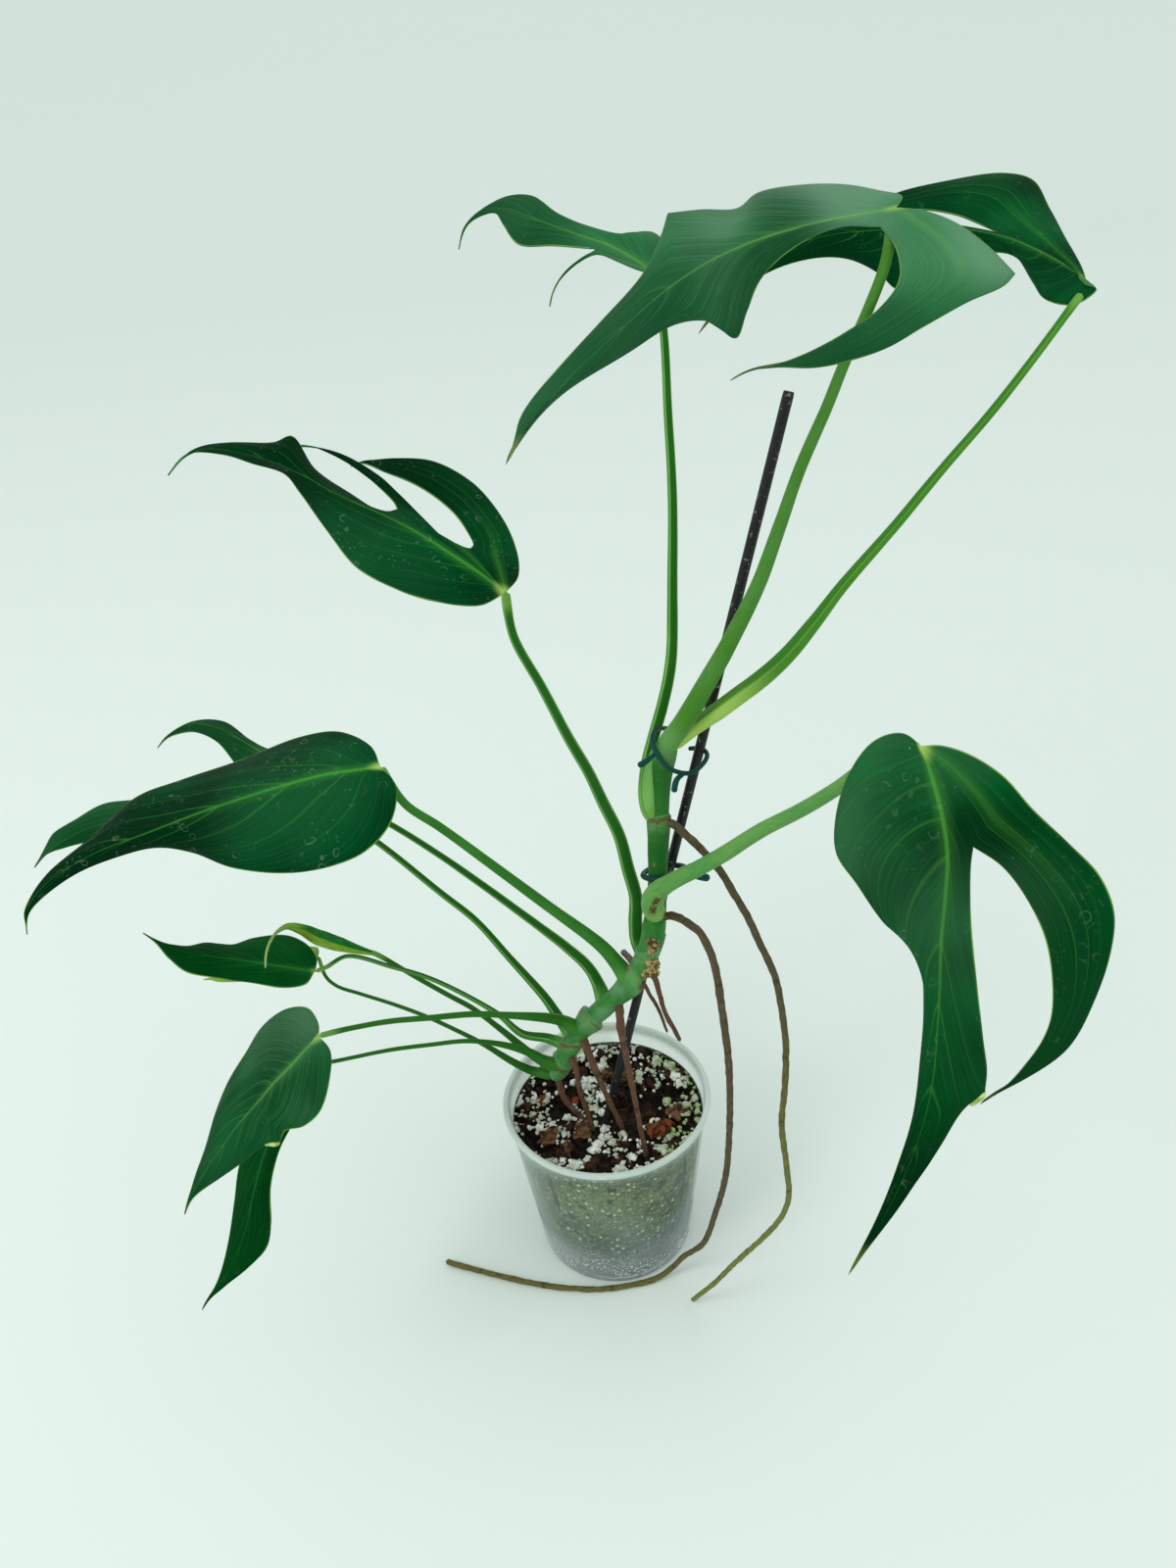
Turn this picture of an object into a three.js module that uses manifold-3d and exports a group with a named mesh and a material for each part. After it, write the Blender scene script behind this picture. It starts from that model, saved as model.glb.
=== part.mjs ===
// Climbing aroid with deeply cut leaves, on a black stake in a clear nursery pot.
// Millimetres, +Z up. The origin is the centre of the pot's foot on the surface.
import * as THREE from 'three';
import { mergeVertices } from 'three/addons/utils/BufferGeometryUtils.js';
import Module from 'manifold-3d';

const wasm = await Module();
wasm.setup();

// Driving dimensions of the pot and its filling
const rimRadius = 60;
const footRadius = 45.4;
const potHeight = 108.4;
const potWall = 1.2;
const potFloor = 1.6;
const lipWidth = 2.2;
const lipDepth = 3.4;
const mixHeight = 95;
const mixGap = 0.5;
const lumpCount = 34;

// Driving dimensions of the plant and its support
const stakeRadius = 2.5;
const clipWire = 1.0;
const bladeThickness = 0.8;
const bladeRows = 14;
const holeGap = 0.4;
const seatGap = 0.35;

// Ends of the stake, below the mix and above the stem
const stakeFoot = [-8.6, -13.2, 70];
const stakeTop = [104, 24.5, 489];

const plant = new THREE.Group();
plant.name = 'potted_plant';

// Seeded random numbers, so that every build is the same
let seed = 4127;
function random() {
  seed = (seed * 48271) % 2147483647;
  return seed / 2147483647;
}

function vector([x, y, z]) {
  return new THREE.Vector3(x, y, z);
}

// One named mesh with its own material
const finishes = {
  leaf: { color: '#1c5a34', roughness: 0.32, metalness: 0 },
  youngLeaf: { color: '#7c9a2c', roughness: 0.4, metalness: 0 },
  petiole: { color: '#4c8f3f', roughness: 0.42, metalness: 0 },
  stem: { color: '#3f8242', roughness: 0.5, metalness: 0 },
  root: { color: '#5b4334', roughness: 0.8, metalness: 0 },
  pot: { color: '#dfe8e2', roughness: 0.25, metalness: 0, transparent: true, opacity: 0.45 },
  mix: { color: '#3a2b22', roughness: 0.95, metalness: 0 },
  stake: { color: '#17191b', roughness: 0.45, metalness: 0 },
  clip: { color: '#1d4f52', roughness: 0.4, metalness: 0 },
};

function addMesh(parent, name, geometry, finish) {
  const mesh = new THREE.Mesh(geometry, new THREE.MeshStandardMaterial(finishes[finish]));
  mesh.name = name;
  parent.add(mesh);
  return mesh;
}

// A round tube along a curve, with a radius given at even steps and flat closed ends
function taperedTube(points, radii, sides = 8, steps = 14, closed = false) {
  const curve = new THREE.CatmullRomCurve3(points.map(vector), closed, 'centripetal');
  const frames = curve.computeFrenetFrames(steps, closed);
  const radiusAt = (u) => {
    const place = u * (radii.length - 1);
    const low = Math.min(Math.floor(place), radii.length - 2);
    return THREE.MathUtils.lerp(radii[low], radii[low + 1], place - low);
  };
  const positions = [];
  const faces = [];
  const ringCount = closed ? steps : steps + 1;
  for (let i = 0; i < ringCount; i += 1) {
    const centre = curve.getPointAt(i / steps);
    const radius = radiusAt(i / steps);
    for (let k = 0; k < sides; k += 1) {
      const angle = (k / sides) * 2 * Math.PI;
      const point = centre.clone()
        .addScaledVector(frames.normals[i], radius * Math.cos(angle))
        .addScaledVector(frames.binormals[i], radius * Math.sin(angle));
      positions.push(point.x, point.y, point.z);
    }
  }
  for (let i = 0; i < steps; i += 1) {
    const ring = i * sides;
    const nextRing = ((i + 1) % ringCount) * sides;
    for (let k = 0; k < sides; k += 1) {
      const next = (k + 1) % sides;
      faces.push(ring + k, ring + next, nextRing + next);
      faces.push(ring + k, nextRing + next, nextRing + k);
    }
  }
  if (!closed) {
    const last = steps * sides;
    for (let k = 1; k < sides - 1; k += 1) {
      faces.push(0, k + 1, k);
      faces.push(last, last + k, last + k + 1);
    }
  }
  const geometry = new THREE.BufferGeometry();
  geometry.setAttribute('position', new THREE.Float32BufferAttribute(positions, 3));
  geometry.setIndex(faces);
  geometry.computeVertexNormals();
  return geometry;
}

// Solids for joins and cuts
function toSolid(geometry) {
  const bare = new THREE.BufferGeometry();
  bare.setAttribute('position', geometry.getAttribute('position').clone());
  if (geometry.index) bare.setIndex(geometry.index.clone());
  const merged = mergeVertices(bare, 1e-4);
  return new wasm.Manifold(new wasm.Mesh({
    numProp: 3,
    vertProperties: new Float32Array(merged.getAttribute('position').array),
    triVerts: new Uint32Array(merged.index.array),
  }));
}

function toGeometry(solid) {
  const mesh = solid.getMesh();
  const geometry = new THREE.BufferGeometry();
  const positions = new THREE.Float32BufferAttribute(mesh.vertProperties, 3);
  geometry.setAttribute('position', positions);
  geometry.setIndex(Array.from(mesh.triVerts));
  geometry.computeVertexNormals();
  return geometry;
}

// A tube that starts or ends inside its neighbours is trimmed back to a small gap from them
function seated(geometry, neighbours) {
  let solid = toSolid(geometry);
  for (const neighbour of neighbours) solid = solid.subtract(neighbour);
  const pieces = solid.decompose().sort((a, b) => b.volume() - a.volume());
  return toGeometry(pieces[0]);
}

// Pot: a tapered clear wall with a rolled lip and a recessed foot
function wallRadius(z) {
  return THREE.MathUtils.mapLinear(z, 0, potHeight, footRadius, rimRadius - lipWidth);
}

function turned(profile, segments) {
  const points = profile.map(([r, z]) => new THREE.Vector2(r, z));
  const geometry = new THREE.LatheGeometry(points, segments);
  geometry.rotateX(Math.PI / 2);
  return geometry;
}

const potProfile = [
  [0, 0],
  [footRadius - 2.5, 0],
  [footRadius - 0.7, 0.6],
  [wallRadius(2.5), 2.5],
  [wallRadius(potHeight - lipDepth), potHeight - lipDepth],
  [rimRadius - 0.4, potHeight - lipDepth + 0.5],
  [rimRadius, potHeight - 0.8],
  [rimRadius - 0.6, potHeight],
  [wallRadius(potHeight) - potWall, potHeight],
  [wallRadius(potFloor + 1.2) - potWall, potFloor + 1.2],
  [footRadius - 3.4, potFloor],
  [0, potFloor],
];
addMesh(plant, 'pot', turned(potProfile, 40), 'pot');

// Stake: a plain round rod pushed into the mix
const rod = taperedTube([stakeFoot, stakeTop], [stakeRadius, stakeRadius], 12, 1);
addMesh(plant, 'stake', rod, 'stake');

// Roots that run down from the stem into the mix
const soilRoots = [
  {
    name: 'soil_root_right', radius: 2,
    points: [[11, -13, 189], [11, -20, 176], [14, -26, 145],
    [18, -34, 108], [20.5, -40, 84]],
  },
  {
    name: 'soil_root_middle', radius: 1.9,
    points: [[-11, -2, 158], [-7.5, -10, 150],
    [-2, -14, 130], [7, -18, 100], [10, -19, 86]],
  },
  {
    name: 'soil_root_left', radius: 1.7,
    points: [[-19, 2, 142], [-16, -6, 138],
    [-14.5, -10, 122], [-9.5, -14, 98], [-8, -15, 87]],
  },
  {
    name: 'soil_root_end', radius: 1.8,
    points: [[-27, 3, 121], [-25, -2, 111], [-21, -4, 104],
    [-14, -6, 95], [-9, -8, 86]],
  },
];

// Potting mix: a slightly heaped plug with lumps of perlite and bark on top
const mixInset = potWall + mixGap;
const mixProfile = [
  [0, potFloor + mixGap],
  [footRadius - 4.2, potFloor + mixGap],
  [wallRadius(6) - mixInset, 6],
  [wallRadius(mixHeight - 3) - mixInset, mixHeight - 3],
  [wallRadius(mixHeight) - mixInset - 3, mixHeight - 0.6],
  [34, mixHeight],
  [16, mixHeight + 0.8],
  [0, mixHeight + 1],
];
let mix = toSolid(turned(mixProfile, 32));
for (let i = 0; i < lumpCount; i += 1) {
  const angle = i * 2.39996;
  const reach = 47 * Math.sqrt((i + 0.6) / lumpCount);
  const size = 2 + 2.6 * random();
  const lump = new THREE.IcosahedronGeometry(size, 0);
  lump.rotateX(random() * 3);
  lump.rotateY(random() * 3);
  lump.scale(1, 1, 0.8);
  lump.translate(reach * Math.cos(angle), reach * Math.sin(angle), mixHeight + 0.3);
  mix = mix.add(toSolid(lump));
}
const holes = [];
for (const root of soilRoots) {
  const tip = vector(root.points[4]);
  const before = vector(root.points[3]);
  const deeper = tip.clone().add(tip.clone().sub(before).setLength(0.8));
  const path = [...root.points.slice(0, 4), deeper.toArray()];
  holes.push(taperedTube(path, [root.radius + holeGap, root.radius + holeGap], 6, 10));
}
const stakeBottom = vector(stakeFoot);
const stakeDirection = vector(stakeTop).sub(stakeBottom).normalize();
const pit = stakeBottom.clone().addScaledVector(stakeDirection, -0.6);
holes.push(taperedTube([pit.toArray(), stakeTop], [stakeRadius + holeGap, stakeRadius + holeGap], 12, 1));
for (const hole of holes) mix = mix.subtract(toSolid(hole));
addMesh(plant, 'potting_mix', toGeometry(mix), 'mix');

// Stem: a jointed vine that creeps up to the right and then climbs the stake
const stemPoints = [
  [-29, 6, 118], [-20, 3, 140], [-10, -2, 162], [3, -8, 181], [17, -13, 200],
  [28, -13, 220], [33, -11, 242], [35.5, -7, 265], [37, -4, 284], [39, -1, 310], [44, 1, 336],
];
const stemRadii = [
  4.6, 5, 5.6, 6.2, 5.4, 5.2, 6.4, 6, 5.2, 6.4, 6.2, 5.6,
  6.4, 6.6, 5.2, 4.8, 4.8, 5.6, 5.4, 5, 5, 5, 5.2, 4.4,
];
let stem = toSolid(taperedTube(stemPoints, stemRadii, 10, 34));
const scab = [[31, -16.8, 231, 2.6], [31.4, -16.6, 224, 3], [30, -17.2, 218, 3.2]];
for (const [x, y, z, size] of scab) {
  const crumb = new THREE.IcosahedronGeometry(size, 0);
  crumb.translate(x, y, z);
  stem = stem.add(toSolid(crumb));
}
addMesh(plant, 'stem', toGeometry(stem), 'stem');

// The stem with a small gap all round, which trims what grows from it
function grownEnd(points, at, beyond) {
  const end = vector(points[at]);
  return end.clone().add(end.clone().sub(vector(points[beyond])).setLength(seatGap)).toArray();
}

const stemEnd = stemPoints.length - 1;
const grownPoints = [
  grownEnd(stemPoints, 0, 1),
  ...stemPoints.slice(1, stemEnd),
  grownEnd(stemPoints, stemEnd, stemEnd - 1),
];
const grownRadii = stemRadii.map((radius) => radius + seatGap);
const grownStem = toSolid(taperedTube(grownPoints, grownRadii, 10, 34));

for (const root of soilRoots) {
  const geometry = taperedTube(root.points, [root.radius, root.radius * 0.9], 6, 10);
  addMesh(plant, root.name, seated(geometry, [grownStem]), 'root');
}

// Blades: smooth rails run from the foot of a blade to its tips, in the blade's
// own plane: x from foot to tip, y across, z out of the upper face.
// Two rails that share a stretch and then part leave a split between two lobes.
function sample(points, rows) {
  const curve = new THREE.CatmullRomCurve3(points.map(vector), false, 'centripetal');
  return curve.getPoints(rows);
}

function rail(...stretches) {
  const line = [];
  for (const [points, rows] of stretches) {
    const samples = sample(points, rows);
    line.push(...(line.length ? samples.slice(1) : samples));
  }
  return line;
}

function bladeGeometry(strips, thickness) {
  const points = [];
  const index = new Map();
  const faces = [];
  const vertex = (point) => {
    const key = point.toArray().map((value) => value.toFixed(3)).join(' ');
    if (!index.has(key)) {
      index.set(key, points.length);
      points.push(point.clone());
    }
    return index.get(key);
  };
  for (const [left, right, columns] of strips) {
    const grid = left.map((point, row) => {
      const line = [];
      for (let column = 0; column <= columns; column += 1) {
        line.push(vertex(point.clone().lerp(right[row], column / columns)));
      }
      return line;
    });
    for (let row = 0; row < grid.length - 1; row += 1) {
      for (let column = 0; column < columns; column += 1) {
        const a = grid[row][column];
        const b = grid[row + 1][column];
        const c = grid[row + 1][column + 1];
        const d = grid[row][column + 1];
        if (a !== b && b !== c && c !== a) faces.push([a, b, c]);
        if (a !== c && c !== d && d !== a) faces.push([a, c, d]);
      }
    }
  }
  return thickened(points, faces, thickness);
}

// Upper and lower faces with the same triangles, joined by an edge wall
function thickened(points, faces, thickness) {
  const normals = points.map(() => new THREE.Vector3());
  for (const [a, b, c] of faces) {
    const edge = points[b].clone().sub(points[a]);
    const normal = edge.cross(points[c].clone().sub(points[a]));
    for (const corner of [a, b, c]) normals[corner].add(normal);
  }
  const count = points.length;
  const positions = [];
  for (const side of [0.5, -0.5]) {
    points.forEach((point, i) => {
      const offset = normals[i].clone().setLength(side * thickness);
      positions.push(...point.clone().add(offset).toArray());
    });
  }
  const triangles = [];
  const edges = new Map();
  for (const [a, b, c] of faces) {
    triangles.push(a, b, c, a + count, c + count, b + count);
    for (const [from, to] of [[a, b], [b, c], [c, a]]) {
      if (!edges.delete(`${to} ${from}`)) edges.set(`${from} ${to}`, [from, to]);
    }
  }
  for (const [from, to] of edges.values()) {
    triangles.push(from, from + count, to + count, from, to + count, to);
  }
  const geometry = new THREE.BufferGeometry();
  geometry.setAttribute('position', new THREE.Float32BufferAttribute(positions, 3));
  geometry.setIndex(triangles);
  geometry.computeVertexNormals();
  return geometry;
}

const grownBlades = {};

function blade(name, place, strips) {
  const holder = new THREE.Group();
  holder.position.set(...place.foot);
  const degrees = THREE.MathUtils.degToRad;
  holder.rotation.set(degrees(place.roll), degrees(place.droop), degrees(place.heading), 'ZYX');
  holder.updateMatrix();
  plant.add(holder);
  addMesh(holder, name, bladeGeometry(strips, bladeThickness), 'leaf');
  const shifts = [[0, 0], [-seatGap, 0], [0, seatGap], [0, -seatGap]];
  grownBlades[name] = shifts.map(([x, y]) => {
    const grown = bladeGeometry(strips, bladeThickness + 2 * seatGap);
    return toSolid(grown.translate(x, y, 0).applyMatrix4(holder.matrix));
  });
}

const whole = bladeRows;
const foot = [0, 0, 0];

// Large blade at the top, hanging towards the viewer, with one hooked lobe
{
  const tip = [180, 0, 0];
  const lobeTip = [84, 12, -19];
  const toNotch = [[foot, [5, 1, 0], [10, 3, 0]], 2];
  const far = rail([[foot, [-6, -3, -1], [-2, -10, -3], [6, -20, -5], [19, -30, -7],
    [35, -37, -8], [46, -36, -8], [58, -42, -8], [68, -48, -9], [79, -41, -5], [97, -30, -1],
    [124, -22, 0], [150, -15, 0], [173, -7, 0], tip], whole]);
  const midrib = rail([[foot, [19, -6, 2], [47, -14, 4], [72, -18, 5], [94, -18, 5],
    [117, -15, 4], [146, -10, 2], tip], whole]);
  const near = rail(toNotch, [[[10, 3, 0], [22, -5, 0], [40, -9, -2], [58, -7, -5], [70, 0, -8],
    [78, 5, -11], [83, -4, -8], [97, -9, -4], [119, -9, -3], [150, -8, -1], tip], 12]);
  const lobeInner = rail(toNotch, [[[10, 3, 0], [8, 12, -4], [12, 21, -8], [24, 25, -12],
    [38, 25, -14], [61, 22, -16], lobeTip], 12]);
  const lobeOuter = rail([[foot, [-10, 6, -2], [-19, 16, -4], [-25, 30, -6], [-28, 42, -8],
    [-23, 46, -10], [-8, 42, -12], [12, 40, -14], [31, 38, -16], [55, 30, -17], [71, 19, -18],
    lobeTip], whole]);
  blade(
    'blade_top_front',
    { foot: [137, -6, 560], heading: -153, droop: 19, roll: -45 },
    [[lobeOuter, lobeInner, 3], [near, midrib, 2], [midrib, far, 3]],
  );
}

// Blade at the top right, one long split on the far half and a notch on the near half
{
  const tip = [188, -6, -6];
  const lobeTip = [99, -74, -12];
  const toNotch = [[foot, [8, -17, 0], [19, -30, 0], [33, -40, 0]], 4];
  const lobeOuter = rail([[foot, [-1, -14, -1], [1, -35, -2], [2, -57, -4], [5, -80, -5],
    [17, -89, -7], [46, -90, -9], [77, -85, -10], lobeTip], whole]);
  const lobeInner = rail(toNotch, [[[33, -40, 0], [40, -51, -3], [49, -61, -5], [63, -69, -7],
    [82, -73, -9], lobeTip], 10]);
  const far = rail(toNotch, [[[33, -40, 0], [47, -46, 0], [66, -53, 0], [89, -60, 0],
    [114, -62, 0], [140, -53, 0], [168, -29, -1], tip], 10]);
  const midrib = rail([[foot, [9, -13, 2], [21, -23, 4], [34, -32, 5], [60, -42, 5], [90, -46, 4],
    [120, -47, 3], [150, -38, 1], tip], whole]);
  const near = rail([[foot, [-5, 1, -2], [3, 6, -4], [10, 5, -6], [18, -1, -7], [21, -13, -7],
    [27, -26, -3], [45, -28, 0], [66, -26, -5], [85, -21, -11], [93, -31, -9], [107, -41, -7],
    [125, -43, -6], [150, -34, -5], tip], whole]);
  blade(
    'blade_top_right',
    { foot: [265, 112, 506], heading: -179, droop: 1, roll: -35 },
    [[near, midrib, 3], [midrib, far, 2], [lobeInner, lobeOuter, 3]],
  );
}

// Blade at the top left, seen low over its face, with a thin drooping lobe
{
  const tip = [112, -14, -10];
  const lobeTip = [53, 12, -15];
  const far = rail([[foot, [1, -18, -2], [7, -33, -3], [15, -38, -3], [24, -28, 0], [40, -29, 0],
    [63, -36, 0], [83, -48, 0], [95, -44, 0], [105, -32, -2], [111, -22, -6], tip], whole]);
  const midrib = rail([[foot, [14, -9, 0], [30, -16, 1], [50, -21, 1], [72, -27, 1], [95, -33, 0],
    [108, -25, -3], tip], whole]);
  const toNotch = [[foot, [12, -6, 0], [25, -9, 0], [37, -13, 0]], 5];
  const near = rail(toNotch, [[[37, -13, 0], [58, -10, 0], [75, -8, -1], [88, -20, 0],
    [96, -29, 0], [108, -24, -4], tip], 9]);
  const lobeInner = rail(toNotch, [[[37, -13, 0], [45, -9, -5], [52, -1, -10], lobeTip], 9]);
  const lobeOuter = rail([[foot, [10, -3, -1], [22, -7, -1], [33, -11, -1], [42, -8, -5],
    [50, 1, -11], lobeTip], whole]);
  blade(
    'blade_top_left',
    { foot: [59, 129, 524], heading: 160, droop: -10, roll: -25 },
    [[lobeOuter, lobeInner, 2], [near, midrib, 2], [midrib, far, 3]],
  );
}

// Blade at the middle left, two open splits on the far half
{
  const tip = [167, -5, -6];
  const firstTip = [95, -57, -12];
  const secondTip = [124, -52, -11];
  const toFirst = [[foot, [8, -6, 0], [16, -13, 0], [24, -18, 0]], 3];
  const toSecond = [[foot, [20, -10, 1], [42, -18, 1], [62, -26, 0]], 6];
  const near = rail([[foot, [9, 10, -3], [31, 16, -5], [50, 15, -7], [70, 10, -8], [89, -4, -7],
    [108, -19, -5], [118, -26, -4], [134, -26, -5], [147, -23, -3], [161, -15, -2], tip], whole]);
  const midrib = rail([[foot, [14, -5, 1], [30, -9, 2], [46, -13, 3], [61, -15, 4], [91, -18, 4],
    [111, -23, 3], [135, -24, 2], [156, -18, 0], tip], whole]);
  const far = rail(toSecond, [[[62, -26, 0], [68, -21, 0], [86, -26, -1], [106, -33, -1],
    [122, -46, 1], [128, -39, 0], [144, -32, -2], [159, -22, -3], tip], 8]);
  const secondInner = rail(toSecond, [[[62, -26, 0], [66, -32, -2], [81, -42, -5], [99, -50, -8],
    [114, -53, -10], secondTip], 8]);
  const secondOuter = rail(toFirst, [[[24, -18, 0], [35, -18, 0], [50, -27, 0], [65, -39, -2],
    [81, -50, -4], [103, -57, -8], secondTip], 11]);
  const firstInner = rail(toFirst, [[[24, -18, 0], [27, -27, -2], [39, -42, -5], [59, -53, -8],
    [80, -57, -11], firstTip], 11]);
  const firstOuter = rail([[foot, [-3, -14, -2], [2, -31, -3], [15, -50, -4], [35, -66, -5],
    [57, -72, -7], [76, -67, -10], firstTip], whole]);
  blade(
    'blade_mid_left',
    { foot: [-27, 39, 403], heading: 173, droop: -24, roll: -25 },
    [[near, midrib, 3], [midrib, far, 2], [secondInner, secondOuter, 2], [firstInner, firstOuter, 3]],
  );
}

// A blade without splits: near edge, midrib and far edge
function wholeBlade(name, place, { near, midrib, far }) {
  const rails = [near, midrib, far].map((points) => rail([points, whole]));
  blade(name, place, [[rails[0], rails[1], 3], [rails[1], rails[2], 3]]);
}

wholeBlade(
  'blade_left_broad',
  { foot: [-87, -32, 354], heading: -166, droop: 15, roll: -25 },
  {
    near: [foot, [-3, 10, -3], [5, 23, -7], [22, 28, -9], [50, 21, -11], [78, 5, -11],
      [93, -8, -8], [106, -14, -4], [124, -17, -2], [144, -17, -1], [166, -13, -5],
      [175, -9, -12]],
    midrib: [foot, [12, -3, 2], [24, -6, 4], [51, -10, 6], [78, -13, 7], [106, -16, 6],
      [133, -19, 4], [156, -17, 1], [168, -13, -4], [175, -9, -12]],
    far: [foot, [1, -15, -3], [13, -33, -6], [31, -41, -8], [60, -43, -8], [89, -46, -7],
      [110, -46, -5], [133, -33, -2], [156, -22, 0], [171, -12, -5], [175, -9, -12]],
  },
);
wholeBlade(
  'blade_left_lower',
  { foot: [-121, 8, 304], heading: -177, droop: 2, roll: -25 },
  {
    near: [foot, [2, 14, -6], [20, 24, -10], [48, 20, -10], [74, 4, -7], [97, -4, -6],
      [123, -9, -3], [139, -6, -1], [151, 0, 0]],
    midrib: [foot, [25, -3, 4], [55, -8, 6], [93, -14, 5], [125, -13, 3], [151, 0, 0]],
    far: [foot, [2, -18, -4], [20, -32, -6], [50, -36, -5], [80, -32, -2], [102, -29, 0],
      [119, -29, 0], [132, -22, 0], [144, -14, 0], [151, 0, 0]],
  },
);
wholeBlade(
  'blade_left_upper',
  { foot: [-123, 58, 281], heading: 164, droop: -16, roll: -25 },
  {
    near: [foot, [2, 15, -5], [18, 24, -8], [42, 14, -6], [71, -3, -2], [87, -12, 0],
      [103, -13, -1], [119, -2, -5]],
    midrib: [foot, [20, -2, 3], [45, -8, 5], [66, -13, 5], [88, -18, 4], [106, -16, 1],
      [119, -2, -5]],
    far: [foot, [1, -14, -4], [16, -27, -5], [36, -26, -3], [57, -17, 0], [70, -19, 0],
      [89, -25, 0], [106, -19, -1], [119, -2, -5]],
  },
);
wholeBlade(
  'blade_low_dark',
  { foot: [-142, -19, 231], heading: 171, droop: -14, roll: 0 },
  {
    near: [foot, [2, 8, -2], [13, 12, -4], [28, 12, -5], [48, 14, -5], [61, 15, -4], [72, 10, -2],
      [88, 0, 0]],
    midrib: [foot, [10, 2, 1], [24, 4, 2], [38, 6, 3], [53, 8, 3], [67, 7, 1], [88, 0, 0]],
    far: [foot, [3, -12, -2], [12, -22, -3], [24, -26, -4], [39, -20, -5], [50, -10, -4],
      [62, -4, -3], [73, 1, -1], [88, 0, 0]],
  },
);
wholeBlade(
  'blade_low_front',
  { foot: [-133, -66, 230], heading: -140, droop: 31, roll: -10 },
  {
    near: [foot, [4, 8, -5], [19, 17, -9], [33, 18, -10], [45, 15, -6], [66, 8, -2], [84, 2, -1],
      [97, 0, 0]],
    midrib: [foot, [16, -1, 2], [35, -2, 3], [56, -3, 3], [79, -2, 2], [97, 0, 0]],
    far: [foot, [-4, -6, -2], [-6, -18, -4], [2, -30, -6], [15, -35, -7], [29, -33, -7],
      [43, -30, -6], [57, -24, -5], [72, -14, -3], [86, -6, -1], [97, 0, 0]],
  },
);
wholeBlade(
  'blade_low_hanging',
  { foot: [-145, -51, 198], heading: -133, droop: 45, roll: 0 },
  {
    near: [foot, [5, 7, -3], [22, 8, -4], [44, 7, -2], [60, 11, 0], [74, 19, 0], [84, 23, 0],
      [99, 17, 0], [128, 0, 0]],
    midrib: [foot, [19, 2, 3], [44, 4, 5], [62, 6, 5], [85, 9, 3], [107, 8, 1], [128, 0, 0]],
    far: [foot, [2, -10, -3], [18, -20, -4], [42, -21, -2], [62, -16, 0], [77, -9, 0],
      [95, -1, 0], [112, 3, 0], [128, 0, 0]],
  },
);
wholeBlade(
  'blade_small',
  { foot: [-148, 12, 216], heading: 178, droop: 10, roll: -10 },
  {
    near: [foot, [2, 6, -2], [12, 10, -3], [28, 9, -3], [44, 5, -2], [56, 3, -1], [66, 0, 0]],
    midrib: [foot, [20, 1, 2], [44, 0, 2], [66, 0, 0]],
    far: [foot, [2, -8, -2], [12, -12, -3], [28, -11, -3], [46, -6, -2], [58, -2, -1], [66, 0, 0]],
  },
);

// Young leaf, still rolled up, with a hooked end
{
  const points = [[-118, 14, 213], [-128, 11, 220], [-143, 5, 234], [-149, 2, 242],
    [-155, -3, 249], [-159, -10, 251], [-161, -18, 251], [-162, -25, 249], [-162, -31, 245]];
  const radii = [1.8, 3.2, 3.6, 3, 2, 1.2, 0.6];
  addMesh(plant, 'blade_young', taperedTube(points, radii, 8, 14), 'youngLeaf');
  const grownRoll = [grownEnd(points, 0, 1), ...points.slice(1)];
  const rollRadii = radii.map((radius) => radius + seatGap);
  grownBlades.blade_young = [toSolid(taperedTube(grownRoll, rollRadii, 8, 14))];
}

// Large blade on the right, hanging down, with one long hooked lobe
{
  const tip = [195, 0, 0];
  const lobeTip = [125, 34, -20];
  const toNotch = [[foot, [9, 9, 1], [21, 17, 1], [33, 23, 0]], 4];
  const far = rail([[foot, [-4, -8, -3], [0, -19, -6], [12, -27, -8], [29, -31, -10],
    [44, -29, -10], [54, -19, -8], [66, -6, -5], [71, 4, -2], [79, 11, 0], [93, 14, 0],
    [111, 15, -1], [133, 15, -2], [152, 12, -2], [173, 7, 0], tip], whole]);
  const midrib = rail([[foot, [11, 6, 2], [24, 12, 4], [38, 16, 5], [67, 18, 6], [90, 20, 5],
    [120, 21, 3], [143, 18, 1], [166, 12, 0], tip], whole]);
  const near = rail(toNotch, [[[33, 23, 0], [40, 23, 0], [55, 25, 0], [69, 28, 0], [86, 32, -1],
    [99, 35, -2], [113, 37, -4], [126, 31, -3], [140, 26, -2], [155, 20, -1], [172, 13, 0],
    tip], 10]);
  const lobeInner = rail(toNotch, [[[33, 23, 0], [38, 33, -1], [47, 42, -2], [60, 50, -4],
    [74, 54, -6], [89, 55, -9], [102, 51, -12], [117, 42, -16], lobeTip], 10]);
  const lobeOuter = rail([[foot, [-1, 7, -1], [1, 17, -3], [7, 29, -4], [17, 40, -5],
    [27, 53, -6], [36, 64, -6], [47, 70, -7], [60, 71, -8], [79, 68, -10], [97, 62, -13],
    [111, 51, -16], lobeTip], whole]);
  blade(
    'blade_right',
    { foot: [125, -124, 396], heading: -114, droop: 60, roll: 10 },
    [[lobeOuter, lobeInner, 3], [near, midrib, 2], [midrib, far, 3]],
  );
}

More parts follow.
